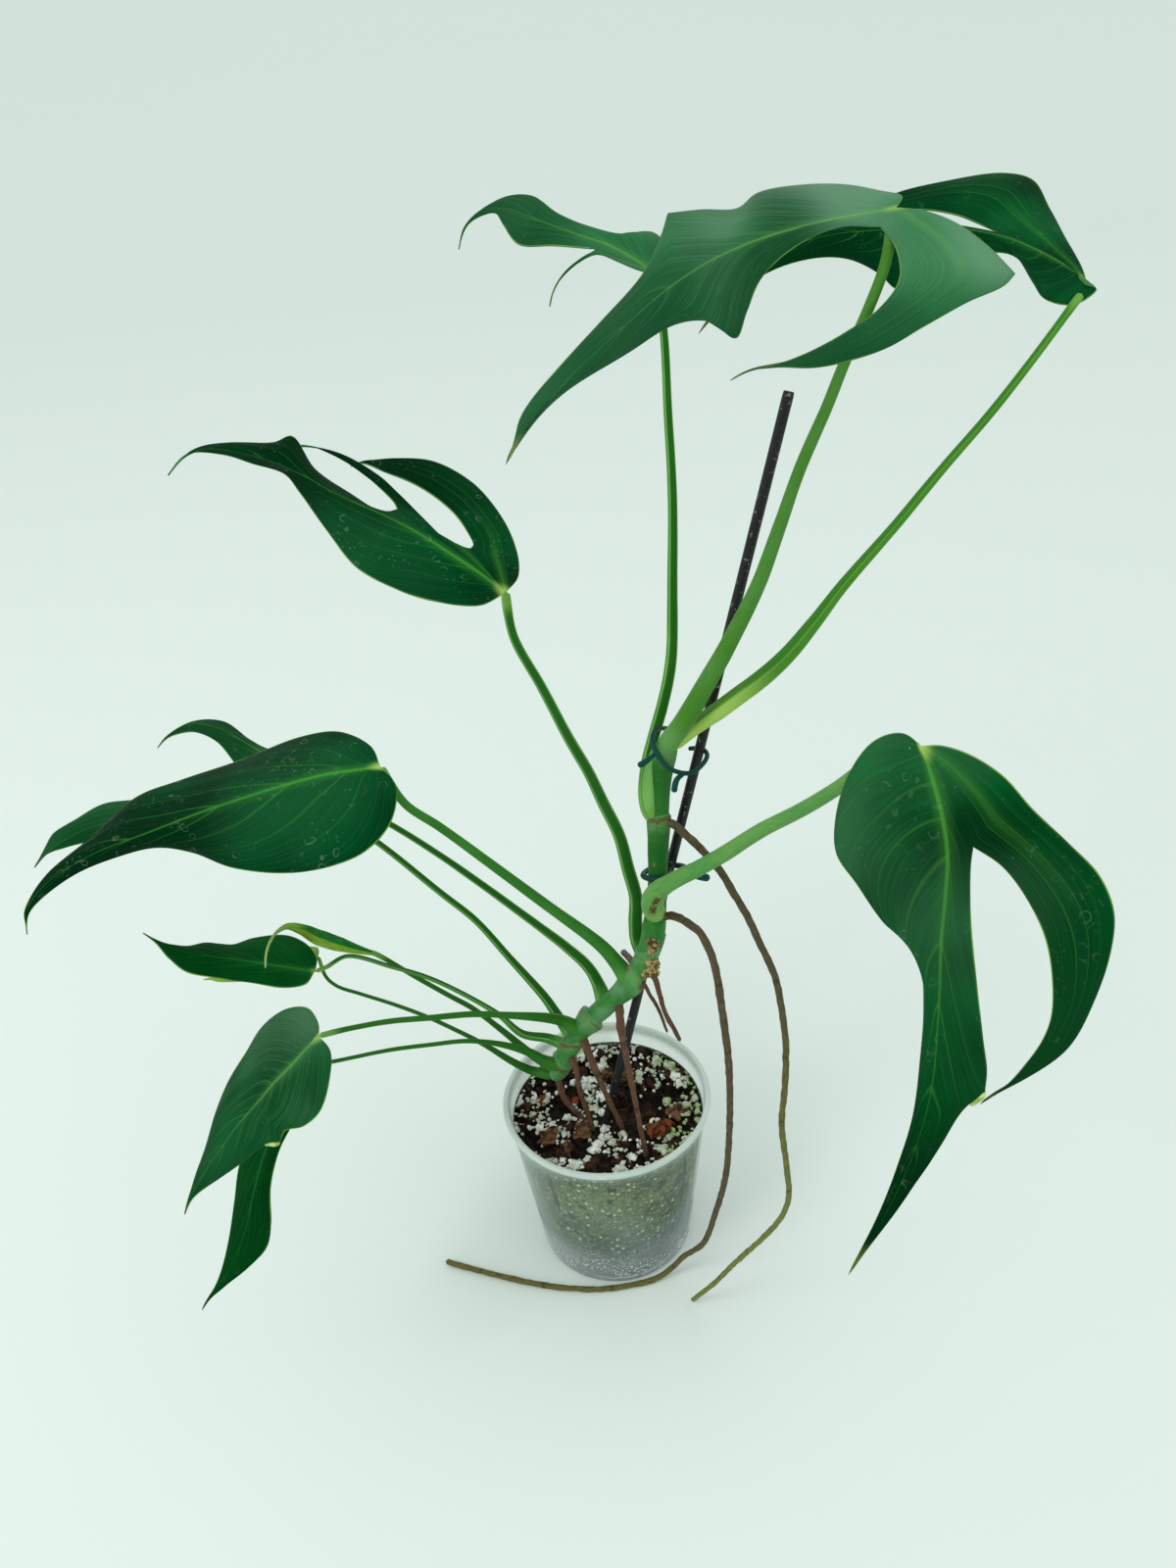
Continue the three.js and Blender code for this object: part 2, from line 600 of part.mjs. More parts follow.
// Petioles: each runs from its node on the stem to the foot of its blade
const petioles = [
  {
    name: 'petiole_top_front', radii: [4.9, 4.4, 3.9, 3.5, 3.2, 2.9, 2.7], steps: 14,
    points: [[44, 1, 335], [51, -1, 345], [63, 0, 366], [74, 0, 386], [87, 2, 411], [96, -1, 439],
      [104, -4, 465], [113, -8, 489], [119, -11, 507], [127, -12, 526], [133, -10, 541],
      [137, -6, 560]],
  },
  {
    name: 'petiole_top_right', beside: 'petiole_top_front', radii: [4.2, 3.4, 2.8, 2.5, 2.3], steps: 14,
    points: [[46, 2, 331], [58, 4, 340.5], [68, 3.4, 349], [78, 5.4, 355], [89, 10, 359],
      [103, 17, 362], [120, 30, 372], [137, 42, 386], [164, 60, 409], [191, 75, 434],
      [214, 87, 454], [236, 98, 475], [263.2, 111, 503.9]],
  },
  {
    name: 'petiole_top_left', radii: [3.2, 3.6, 2.7, 2.3, 2.1], steps: 14,
    points: [[37, -3.5, 286], [30, -1, 292], [28, 2, 303], [32, 8, 319], [38, 14, 331],
      [44, 24, 344], [50, 36, 361], [54, 57, 391], [58, 82, 432], [59, 101, 466], [60, 116, 495],
      [59, 128.8, 523.5]],
  },
  {
    name: 'petiole_mid_left', radii: [3.8, 3.4, 2.9, 2.4, 2.1], steps: 14,
    points: [[29, -12, 213], [23.5, -4, 221], [23, -1, 231], [24, 1, 246], [21, 4, 263],
      [18, 8, 280], [11, 13, 298], [5, 17, 314], [-3, 21, 331], [-14, 28, 357], [-25, 33, 382],
      [-27, 37.5, 398], [-27, 39, 403]],
  },
  {
    name: 'petiole_left_broad', radii: [4, 3.2, 2.6, 2.2], steps: 12,
    points: [[18, -13, 202], [12, -11.5, 213], [6, -12, 224], [-2, -13, 235], [-20, -16, 257],
      [-44, -20, 287], [-66, -26, 316], [-79, -30, 332], [-84.5, -31, 345], [-87, -32, 354]],
  },
  {
    name: 'petiole_left_upper', radii: [3.6, 2.8, 2.3, 2], steps: 12,
    points: [[4, -8, 181], [1, 0, 190], [-4, 4, 200], [-15, 9, 211], [-28, 14, 222],
      [-53, 26, 240], [-78, 39, 256], [-103, 50, 271], [-123, 58, 281]],
  },
  {
    name: 'petiole_left_lower', radii: [3.2, 2.5, 2.1, 1.9], steps: 12,
    points: [[-15, 1, 151], [-22, 8, 160], [-29, 11, 174], [-37, 12, 188], [-46, 12, 204],
      [-61, 12, 231], [-77, 11, 252], [-106, 9, 290], [-121, 8, 304]],
  },
  {
    name: 'petiole_low_dark', radii: [3, 2.5, 2.1, 1.8], steps: 12,
    points: [[-18, 2, 145], [-30, 9, 146], [-44, 8, 152], [-56, 8, 168], [-76, 8, 187],
      [-92, 7, 200], [-108, 3, 212], [-128, -5, 228], [-137, -15, 230], [-142, -19, 231]],
  },
  {
    name: 'petiole_young', radii: [3, 2.6, 2.2, 2], steps: 12,
    points: [[-26, 5, 126], [-39, 13, 129], [-55, 18, 145], [-71, 20, 163], [-83, 18, 176],
      [-97, 17, 190], [-118, 14, 213]],
  },
  {
    name: 'petiole_low_front', radii: [3.6, 3, 2.6, 2.1], steps: 12,
    points: [[-11, -2, 160], [-20, -5, 171], [-29, -10, 179], [-47, -18, 190], [-65, -26, 200],
      [-85, -35, 208], [-103, -44, 216], [-121, -57, 225], [-133, -66, 230]],
  },
  {
    name: 'petiole_low_hanging', radii: [3.2, 2.8, 2.4, 2.1], steps: 12,
    points: [[-24, 3, 130], [-34, 0, 139], [-42, 0, 146], [-56, -3, 156], [-73, -9, 166],
      [-91, -17, 173], [-110, -28, 182], [-137, -46, 194], [-145, -51, 198]],
  },
  {
    name: 'petiole_small', radii: [2.8, 2.2, 1.8, 1.5], steps: 14,
    points: [[-29, 8, 119], [-39, 10, 120], [-49, 8, 129], [-68, 8, 148], [-82, 8, 160],
      [-96, 8, 171], [-113, 9, 181], [-129, 9, 190], [-141, 10, 196], [-146, 11, 202],
      [-148, 12, 216]],
  },
  {
    name: 'petiole_right', radii: [4.6, 3.9, 3.3, 2.9, 2.6], steps: 14,
    points: [[33, -11, 243], [30.5, -19, 254], [31.5, -22, 262], [35, -25, 269], [45, -30, 279],
      [54, -36, 288], [65, -42, 299], [80, -56, 320], [93, -71, 338], [104, -84, 355],
      [113, -98, 373], [125, -124, 396]],
  },
];
const grownPetioles = {};
for (const { name, points, radii, steps, beside } of petioles) {
  const ownBlade = grownBlades[name.replace('petiole', 'blade')];
  const neighbours = [grownStem, ...ownBlade];
  if (beside) neighbours.push(grownPetioles[beside]);
  addMesh(plant, name, seated(taperedTube(points, radii, 8, steps), neighbours), 'petiole');
  const grownRadius = radii.map((radius) => radius + seatGap);
  grownPetioles[name] = toSolid(taperedTube(points, grownRadius, 8, steps));
}

// Aerial roots: two long ones reach the surface, the short ones end in the air
const aerialRoots = [
  {
    name: 'long_root_right', radii: [2, 1.8, 1.7, 1.6], steps: 30,
    points: [[37, -3, 289], [45, -7, 293], [51, -12, 290], [57, -18, 285], [64, -25, 278],
      [70, -36, 270], [75, -46, 263], [79, -56, 255], [84, -66, 244], [86, -74, 231],
      [87, -81, 213], [86, -86, 193], [84, -90, 171], [86, -94, 145], [87, -96, 125],
      [84, -95, 110], [76, -87, 84], [63, -76, 51], [50, -68, 21], [39, -63, 2.2]],
  },
  {
    name: 'long_root_left', radii: [2.2, 1.9, 1.7, 1.7], steps: 34,
    points: [[33, -11, 241], [41, -16, 245], [47, -24, 247], [53, -32, 246], [57, -39, 240],
      [59, -45, 232], [61, -51, 212], [63, -58, 184], [63, -61, 159], [62, -63, 133],
      [60, -63, 106], [55, -57, 70], [47.6, -48.5, 32], [37.4, -44.1, 17], [29, -44.5, 7],
      [20, -47, 2.8], [-9, -50.5, 2], [-32, -48, 2], [-55, -42, 2], [-80, -33, 2],
      [-106, -22.5, 2]],
  },
  {
    name: 'short_root', radii: [2, 1.6, 1.3], steps: 8,
    points: [[25, -13, 214], [30, -20, 210], [32, -24, 203], [34, -29, 194], [38, -34, 186],
      [41, -37, 179]],
  },
  {
    name: 'short_root_thin', radii: [1.4, 1.2, 0.9], steps: 8,
    points: [[20, -13, 205], [25, -20.5, 205], [27, -23, 201], [31, -26, 193], [35, -31, 180]],
  },
  {
    name: 'root_stub', radii: [1.9, 1.6], steps: 4,
    points: [[23, -13, 211], [17, -5.5, 218], [11, 0, 222]],
  },
];
for (const root of aerialRoots) {
  const geometry = taperedTube(root.points, root.radii, 6, root.steps);
  addMesh(plant, root.name, seated(geometry, [grownStem]), 'root');
}

// Clips: a wire ring around stem and stake with small grips
function clip(name, ring, grips) {
  let body = toSolid(taperedTube(ring, [clipWire, clipWire], 6, 20, true));
  for (const grip of grips) {
    body = body.add(toSolid(taperedTube(grip, [clipWire, clipWire * 1.15], 6, 4)));
  }
  addMesh(plant, name, toGeometry(body), 'clip');
}

clip(
  'clip_upper',
  [[36.6, -2, 334], [38, -7.3, 327], [46, -10, 321], [56.5, -2, 320], [63.7, 7.5, 323], [62.5, 14.8, 328],
    [51, 12, 333], [41, 8, 336]],
  [[[37, -6, 329], [30, -9, 326], [25, -11, 323]], [[50, -8.6, 321], [47, -12, 316], [46, -13, 311]]],
);
clip(
  'clip_lower',
  [[28.4, -6, 264], [34, -14, 267], [44, -10, 266], [49.5, 0, 263], [44.2, 7.9, 259], [33, 5, 260]],
  [[[49.3, -1.5, 263.4], [55, -4, 263], [60, -5, 263]]],
);

export default plant;
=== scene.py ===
import math
import random
from functools import partial

import bmesh
import bpy
from mathutils import Euler, Matrix, Vector, noise


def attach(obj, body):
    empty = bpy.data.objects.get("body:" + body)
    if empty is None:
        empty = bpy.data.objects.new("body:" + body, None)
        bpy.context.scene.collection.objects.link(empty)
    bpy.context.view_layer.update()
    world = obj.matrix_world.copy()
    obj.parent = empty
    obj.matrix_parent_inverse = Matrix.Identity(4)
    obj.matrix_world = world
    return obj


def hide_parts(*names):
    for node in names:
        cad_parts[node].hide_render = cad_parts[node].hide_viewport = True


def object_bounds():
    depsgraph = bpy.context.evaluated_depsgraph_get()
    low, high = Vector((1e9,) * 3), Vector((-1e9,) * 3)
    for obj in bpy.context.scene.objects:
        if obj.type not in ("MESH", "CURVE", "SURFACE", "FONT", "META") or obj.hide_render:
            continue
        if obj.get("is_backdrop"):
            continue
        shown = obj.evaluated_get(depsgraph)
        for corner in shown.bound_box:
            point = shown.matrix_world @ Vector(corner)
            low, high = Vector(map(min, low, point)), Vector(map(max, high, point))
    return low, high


# A climbing aroid with deeply cut leaves, tied to a black stake in a clear nursery pot.
# Points are in millimetres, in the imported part's own frame. Meshes are in metres.
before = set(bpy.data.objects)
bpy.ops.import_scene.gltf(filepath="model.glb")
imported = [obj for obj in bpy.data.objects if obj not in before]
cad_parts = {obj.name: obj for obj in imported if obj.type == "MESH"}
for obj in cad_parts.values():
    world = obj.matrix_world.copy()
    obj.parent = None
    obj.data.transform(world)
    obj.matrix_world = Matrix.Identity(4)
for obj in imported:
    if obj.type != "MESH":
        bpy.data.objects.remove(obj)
cadLow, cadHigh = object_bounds()
mm = 0.001
random.seed(11)
noise.seed_set(11)


# A colour as its sRGB hex value, made linear
def paint(code):
    parts = [int(code[at:at + 2], 16) / 255 for at in (1, 3, 5)]
    linear = [part / 12.92 if part <= 0.04045 else ((part + 0.055) / 1.055) ** 2.4 for part in parts]
    return (*linear, 1)


# One shader node with its settings and what is plugged in, by place or by name; gives one output.
# A pattern's scale is in cells to the metre: 1000 divided by the size of a cell in millimetres.
def addNode(tree, kind, settings, *inputs, out=0, **named):
    node = tree.nodes.new("ShaderNode" + kind)
    for name, value in settings.items():
        setattr(node, name, value)
    for socket, value in zip(node.inputs, inputs):
        plugIn(tree, socket, value)
    for name, value in named.items():
        plugIn(tree, node.inputs[name.replace("_", " ")], value)
    return node.outputs[out]


def plugIn(tree, socket, value):
    if isinstance(value, bpy.types.NodeSocket):
        tree.links.new(value, socket)
    elif value is not None:
        socket.default_value = value


def startMaterial(name):
    material = bpy.data.materials.new(name)
    material.use_nodes = True
    tree = material.node_tree
    return material, partial(addNode, tree), partial(finishMaterial, tree)


def finishMaterial(tree, **plugs):
    for name, value in plugs.items():
        plugIn(tree, tree.nodes["Principled BSDF"].inputs[name.replace("_", " ")], value)


smooth = {"interpolation_type": "SMOOTHSTEP"}
times = {"operation": "MULTIPLY"}
plus = {"operation": "ADD"}
minus = {"operation": "SUBTRACT"}
fold = {"operation": "PINGPONG"}
positive = {"operation": "ABSOLUTE"}
most = {"operation": "MAXIMUM"}
enlarge = {"operation": "SCALE"}
firstMap = {"uv_map": "first"}
secondMap = {"uv_map": "second"}
thirdMap = {"uv_map": "third"}


# The centripetal curve through the points, in equal steps from knot to knot
def smoothLine(points, rows, closed=False):
    knots = [Vector(point) for point in points]
    count = len(knots)
    spans = count if closed else count - 1
    line = []
    for row in range(rows if closed else rows + 1):
        place = spans * row / rows
        at = min(int(place), spans - 1)
        b, c = knots[at], knots[(at + 1) % count]
        a = knots[at - 1] if closed or at > 0 else 2 * b - c
        d = knots[(at + 2) % count] if closed or at + 2 < count else 2 * c - b
        before, span, after = [math.sqrt((q - p).length) for p, q in ((a, b), (b, c), (c, d))]
        start = ((b - a) / before - (c - a) / (before + span) + (c - b) / span) * span
        end = ((c - b) / span - (d - b) / (span + after) + (d - c) / after) * span
        t = place - at
        cubic = 2 * (b - c) + start + end
        square = 3 * (c - b) - 2 * start - end
        line.append(b + start * t + square * t ** 2 + cubic * t ** 3)
    return line


# The same curve in equal steps of its length, and that length
def evenLine(points, steps, closed=False):
    fine = smoothLine(points, 16 * len(points), closed)
    if closed:
        fine.append(fine[0].copy())
    lengths = [0]
    for a, b in zip(fine, fine[1:]):
        lengths.append(lengths[-1] + (b - a).length)
    line = []
    at = 0
    for step in range(steps + 1):
        goal = lengths[-1] * step / steps
        while at < len(fine) - 2 and lengths[at + 1] < goal:
            at += 1
        share = (goal - lengths[at]) / (lengths[at + 1] - lengths[at])
        line.append(fine[at].lerp(fine[at + 1], share))
    return line, lengths[-1]


# From 0 to 1 with a soft start and end
def ease(t):
    t = min(max(t, 0), 1)
    return t * t * (3 - 2 * t)


# A soft random value, from about -1 to 1, at a place
def waver(*spot):
    return noise.noise(Vector(spot))


# What a list of values gives at t, from 0 at its start to 1 at its end
def between(values, t):
    place = min(max(t, 0), 1) * (len(values) - 1)
    at = min(int(place), len(values) - 2)
    return values[at] + (values[at + 1] - values[at]) * (place - at)


# A grid whose corners placeAt(column, row) puts in place, in millimetres,
# with the three maps that mapAt(column, row) gives
def shapedGrid(bm, columns, rows, placeAt, mapAt):
    made = bmesh.ops.create_grid(bm, x_segments=columns, y_segments=rows, size=0.5)
    faces = {face for vert in made["verts"] for face in vert.link_faces}
    names = ("first", "second", "third")
    layers = [bm.loops.layers.uv.get(name) or bm.loops.layers.uv.new(name) for name in names]
    spots = {vert: (round((vert.co.x + 0.5) * columns), round((vert.co.y + 0.5) * rows))
             for vert in made["verts"]}
    for face in faces:
        face.smooth = True
        for loop in face.loops:
            for layer, value in zip(layers, mapAt(*spots[loop.vert])):
                loop[layer].uv = value
    for vert, spot in spots.items():
        vert.co = placeAt(*spot) * mm
    return made["verts"]


def addObject(name, bm, materials):
    mesh = bpy.data.meshes.new(name)
    bm.to_mesh(mesh)
    bm.free()
    for material in materials:
        mesh.materials.append(material)
    made = bpy.data.objects.new(name, mesh)
    bpy.context.scene.collection.objects.link(made)
    return made


def addPiece(name, bm, materials, nodes):
    piece = addObject(name, bm, materials)
    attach(piece, "root")
    if nodes:
        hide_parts(*nodes)
    return piece


# A tube along a curve. radiusAt(angle, t, along) is in millimetres, t from 0 to 1 and along in millimetres.
# The first map holds the share of a turn and the centimetres from the start,
# the second holds t and the centimetres to the end.
def tube(bm, points, sides, rows, radiusAt, up=(0, 0, 1), closed=False, roundEnds=True):
    line, length = evenLine(points, rows, closed)
    last = len(line) - 1
    tangents = []
    for at in range(last + 1):
        low, high = (at - 1, at + 1) if 0 < at < last else ((0, 1) if at == 0 else (last - 1, last))
        if closed and at in (0, last):
            tangents.append((line[1] - line[last - 1]).normalized())
        else:
            tangents.append((line[high] - line[low]).normalized())
    normal = Vector(up)
    normals = []
    for tangent in tangents:
        normal = (normal - tangent * normal.dot(tangent)).normalized()
        normals.append(normal.copy())
    frames = [(n, t.cross(n)) for n, t in zip(normals, tangents)]

    def placeAt(column, row):
        angle = 2 * math.pi * (column % sides) / sides
        t = row / rows
        radius = radiusAt(angle, t, t * length)
        for near in (t * length, (1 - t) * length):
            if roundEnds and not closed and near < radius:
                radius *= math.sqrt(max(1 - (1 - near / radius) ** 2, 0))
        across, beside = frames[row]
        return line[row] + (across * math.cos(angle) + beside * math.sin(angle)) * radius

    def mapAt(column, row):
        t = row / rows
        return (column / sides, t * length / 10), (t, (1 - t) * length / 10), (0, 0)

    verts = shapedGrid(bm, sides, rows, placeAt, mapAt)
    bmesh.ops.remove_doubles(bm, verts=verts, dist=0.004 * mm)


def flipOutward(bm):
    bmesh.ops.recalc_face_normals(bm, faces=bm.faces)


def soften(bm):
    for face in bm.faces:
        face.smooth = True


print("stage: materials")


# Waxy leaf blade: dark green with lighter ribs, faint pleats and cells, a satin sheen, a painted grey-green
# reflection of the pale room (the bloom), painted shade towards the tip, and the chalky dots and rings that
# dried water leaves
def leafMaterial(name, look):
    material, add, finish = startMaterial(name)
    place = add("TexCoord", {}, out=3)
    ribSpot, veinSpot = add("UVMap", firstMap), add("UVMap", secondMap)
    fromRib, along = add("SeparateXYZ", {}, ribSpot), add("SeparateXYZ", {}, ribSpot, out=1)
    phase, across = add("SeparateXYZ", {}, veinSpot), add("SeparateXYZ", {}, veinSpot, out=1)
    fromEdge = add("SeparateXYZ", {}, add("UVMap", thirdMap))
    rib = paint(look["rib"])

    # cells of 2 mm, patches of 60 mm, and streaks about 1 mm wide that run with the veins
    cells = add("TexNoise", {}, place, None, 480, 2)
    patches = add("TexNoise", {}, place, None, 16, 2)
    combed = add("CombineXYZ", {}, add("Math", times, phase, 15), add("Math", times, across, 1.6), along)
    streaks = add("TexNoise", {}, combed, None, 1.3, 3, 0.6)
    tone = add("Math", plus, add("Math", times, streaks, 0.2), add("Math", times, patches, 0.8))
    colour = add("MixRGB", {}, add("MapRange", smooth, tone, 0.36, 0.64), paint(look["deep"]),
                 paint(look["fresh"]))
    combing = add("MapRange", smooth, streaks, 0.5, 0.72, 0, look["combing"])
    colour = add("MixRGB", {}, combing, colour, paint(look["comb"]))
    # painted shade: the blade darkens towards its tip
    colour = add("MixRGB", {}, add("MapRange", smooth, along, 0.3, 1.0, 0, 0.8), colour, paint(look["deep"]))
    # painted reflection of the pale room: soft patches in the haze colour (the bloom), strongest near the
    # foot
    bloom = add("MapRange", smooth, add("TexNoise", {}, place, None, 15, 1), 0.36, 0.62, 0, look["bloom"])
    bloom = add("Math", times, bloom, add("MapRange", smooth, along, 0.3, 0.62, 1, 0.12))
    colour = add("MixRGB", {}, bloom, colour, paint(look["haze"]))

    # four pleats to a side vein, then the side veins, which thin out towards the edge
    pleat = add("Math", fold, add("Math", times, phase, 4), 0.5)
    colour = add("MixRGB", {}, add("MapRange", smooth, pleat, 0, 0.3, 0.07 * look["veins"], 0), colour, rib)
    wave = add("Math", fold, phase, 0.5)
    veinWidth = add("MapRange", smooth, across, 0, 1, 0.085, 0.04)
    vein = add("MapRange", smooth, wave, 0, veinWidth, 1, 0)
    show = add("Math", times, add("MapRange", smooth, across, 0.05, 1, look["veins"], 0.15 * look["veins"]),
               add("MapRange", smooth, along, 0.5, 1, 1, 0.3))
    colour = add("MixRGB", {}, add("Math", times, vein, show), colour, rib)

    # the midrib, which fades out 1.6 mm to each side at the foot and 0.45 mm at the tip, in a wider glow
    ribWidth = add("MapRange", smooth, along, 0, 0.85, 0.16, 0.045)
    line = add("MapRange", smooth, fromRib, add("Math", times, ribWidth, 0.15), ribWidth, 1, 0)
    show = add("MapRange", smooth, along, 0.1, 0.9, look["midrib"], 0.25 * look["midrib"])
    colour = add("MixRGB", {}, add("Math", times, line, show), colour, rib)
    glow = add("Math", times, add("MapRange", smooth, fromRib, 0, 0.55, 0.45 * look["midrib"], 0),
               add("MapRange", smooth, along, 0.1, 0.6, 1, 0))
    colour = add("MixRGB", {}, glow, colour, rib)

    # a pale line along parts of the edge, gone 0.7 mm inside it, the lime foot and the dry tip
    worn = add("MapRange", smooth, add("TexNoise", {}, place, None, 40, 1), 0.4, 0.6, 0.15, 0.9)
    edge = add("Math", times, add("MapRange", smooth, fromEdge, 0.02, 0.07, 1, 0), worn)
    colour = add("MixRGB", {}, edge, colour, paint("#7fae52"))
    nearFoot = add("Math", times, add("MapRange", smooth, along, 0, 0.07, 1, 0),
                   add("MapRange", smooth, fromRib, 0.05, 0.6, 1, 0))
    colour = add("MixRGB", {}, nearFoot, colour, paint(look["foot"]))
    nearTip = add("MapRange", smooth, along, 0.95, 0.985, 0, 0.85)
    colour = add("MixRGB", {}, nearTip, colour, paint(look["tip"]))

    # rings of about 4 mm and dots under 1 mm where water has dried
    push = add("VectorMath", enlarge, add("TexNoise", {}, place, None, 190, out=1), Scale=0.004)
    shifted = add("VectorMath", {}, place, push)
    gap = add("TexVoronoi", {}, shifted, None, 150, Randomness=0.75)
    ring = add("Math", times, add("MapRange", smooth, gap, 0.2, 0.27),
               add("MapRange", smooth, gap, 0.27, 0.34, 1, 0))
    ringHere = add("MapRange", smooth, add("TexNoise", {}, place, None, 46, 2), 0.46, 0.66)
    dot = add("MapRange", smooth, add("TexVoronoi", {}, shifted, None, 420), 0.1, 0.24, 1, 0)
    dotHere = add("MapRange", smooth, add("TexNoise", {}, place, None, 55, 2), 0.48, 0.68)
    broken = add("MapRange", smooth, add("TexNoise", {}, place, None, 260, 2), 0.42, 0.56)
    ring = add("Math", times, add("Math", times, ring, ringHere), broken)
    dust = add("Math", most, ring, add("Math", times, dot, dotHere))
    dust = add("Math", times, dust, look["chalk"])
    colour = add("MixRGB", {}, dust, colour, paint("#a8c9ae"))

    height = add("Math", plus, add("Math", times, cells, 0.15), add("Math", times, vein, -0.5))
    height = add("Math", plus, height, add("Math", times, streaks, 0.6))
    rough = add("MapRange", smooth, patches, 0.3, 0.8, look["gloss"], look["gloss"] + 0.12)
    finish(Base_Color=colour, Roughness=add("Math", plus, rough, dust), Specular_IOR_Level=look["sheen"],
           Normal=add("Bump", {}, Height=height, Distance=0.0003, Strength=0.4))
    return material


# bloom and haze set the strength and colour of each blade's painted reflection of the pale room
leafTop = leafMaterial("waxy_leaf", {
    "deep": "#002e13", "fresh": "#005a2a", "rib": "#459638", "foot": "#a2c765", "tip": "#5d7434",
    "haze": "#2f8050", "comb": "#2c8a48", "bloom": 0.06, "combing": 0.05, "veins": 0.2, "midrib": 0.62,
    "chalk": 0.07, "sheen": 0.012, "gloss": 0.38})
leafSpotted = leafMaterial("waxy_leaf_spotted", {
    "deep": "#002812", "fresh": "#004822", "rib": "#459638", "foot": "#a2c765", "tip": "#5f8457",
    "haze": "#4f8a60", "comb": "#2c8a48", "bloom": 0.08, "combing": 0.06, "veins": 0.22, "midrib": 0.72,
    "chalk": 0.16, "sheen": 0.012, "gloss": 0.38})
leafRight = leafMaterial("waxy_leaf_right", {
    "deep": "#002a11", "fresh": "#005a26", "rib": "#4c9638", "foot": "#a2c765", "tip": "#5d7434",
    "haze": "#4f8a60", "comb": "#2c8a48", "bloom": 0.3, "combing": 0.05, "veins": 0.2, "midrib": 0.6,
    "chalk": 0.09, "sheen": 0.012, "gloss": 0.38})
# painted light: a lighter copy for the front blade, with the strongest painted reflection of the pale room
leafFront = leafMaterial("waxy_leaf_front", {
    "deep": "#0f4c28", "fresh": "#2a7442", "rib": "#6cae5c", "foot": "#8fbc60", "tip": "#7f8f58",
    "haze": "#86b394", "comb": "#6fa67c", "bloom": 0.42, "combing": 0.14, "veins": 0.12, "midrib": 0.5,
    "chalk": 0.03, "sheen": 0.05, "gloss": 0.44})
leafPale = leafMaterial("waxy_leaf_pale", {
    "deep": "#033f1c", "fresh": "#126634", "rib": "#5fa04c", "foot": "#8fbc60", "tip": "#4d4c50",
    "haze": "#7bab88", "comb": "#6fa67c", "bloom": 0.3, "combing": 0.13, "veins": 0.16, "midrib": 0.55,
    "chalk": 0.04, "sheen": 0.03, "gloss": 0.42})
leafDark = leafMaterial("waxy_leaf_low", {
    "deep": "#003a12", "fresh": "#045219", "rib": "#2f7a3a", "foot": "#6fa046", "tip": "#3a4038",
    "haze": "#2f8050", "comb": "#2c8a48", "bloom": 0.1, "combing": 0.08, "veins": 0.24, "midrib": 0.6,
    "chalk": 0.03, "sheen": 0.006, "gloss": 0.4})


# One kind of skin: two colours in soft patches, with an optional grain to the touch
def plainMaterial(name, colour, other, roughness, scale=60, depth=0, shine=0.25):
    material, add, finish = startMaterial(name)
    grain = add("TexNoise", {}, add("TexCoord", {}, out=3), None, scale, 3)
    mixed = add("MixRGB", {}, add("MapRange", smooth, grain, 0.35, 0.65), paint(colour), paint(other))
    finish(Base_Color=mixed, Roughness=roughness, Specular_IOR_Level=shine)
    if depth:
        finish(Normal=add("Bump", {}, Height=grain, Distance=depth, Strength=0.6))
    return material


# Underside of a leaf, paler and matt, its cut edge, and a new leaf still soft and lime
leafUnder = plainMaterial("leaf_underside", "#4a8a48", "#3a7838", 0.6)
leafRim = plainMaterial("leaf_rim", "#2f7034", "#1c5426", 0.45)
limeLeaf = plainMaterial("waxy_leaf_new", "#64982c", "#8aac44", 0.45)


# One crumbled lump: an icosphere squeezed and dented, at a place in millimetres
def addLump(bm, place, size, detail, rough, squash=0.75):
    made = bmesh.ops.create_icosphere(bm, subdivisions=detail, radius=1)["verts"]
    turn = Euler([random.uniform(0, 6.3) for _ in range(3)]).to_matrix()
    seed = random.uniform(0, 90)
    stretch = [random.uniform(0.75, 1.25) for _ in range(3)]
    for vert in made:
        dent = 1 + rough * noise.noise(vert.co * 1.7 + Vector((seed, 0, 0)))
        shaped = turn @ Vector([value * dent * factor for value, factor in zip(vert.co, stretch)])
        shaped.z *= squash
        vert.co = (Vector(place) + shaped * size) * mm


print("stage: leaves")


# Rails in stretches, each given as its points and how many steps of the coarse part it covers.
# A whole blade has 14 of them from foot to tip, and each is seven rows here.
whole = 14
rowsPerStep = 7


def rail(*stretches):
    line = []
    for points, steps in stretches:
        samples = smoothLine(points, steps * rowsPerStep)
        line += samples[1:] if line else samples
    return [Vector([round(value, 4) for value in spot]) for spot in line]


# What all blades share, in millimetres, in shares of the width, or in shares of the length.
# A tip starts to thin at the first share of the length, down to the second share of its width.
bladeForm = {
    "thickness": 0.65, "arch": 0.05, "quilt": 0.35, "ripple": 1.1,
    "tip": (0.86, 0.42), "lobeTip": (0.84, 0.5), "thinned": 0.99,
    "dripFrom": 0.93, "hook": (0, 0, -3),
}


def turnOf(leaf):
    return Euler([math.radians(leaf[key]) for key in ("roll", "droop", "heading")], "XYZ").to_matrix()


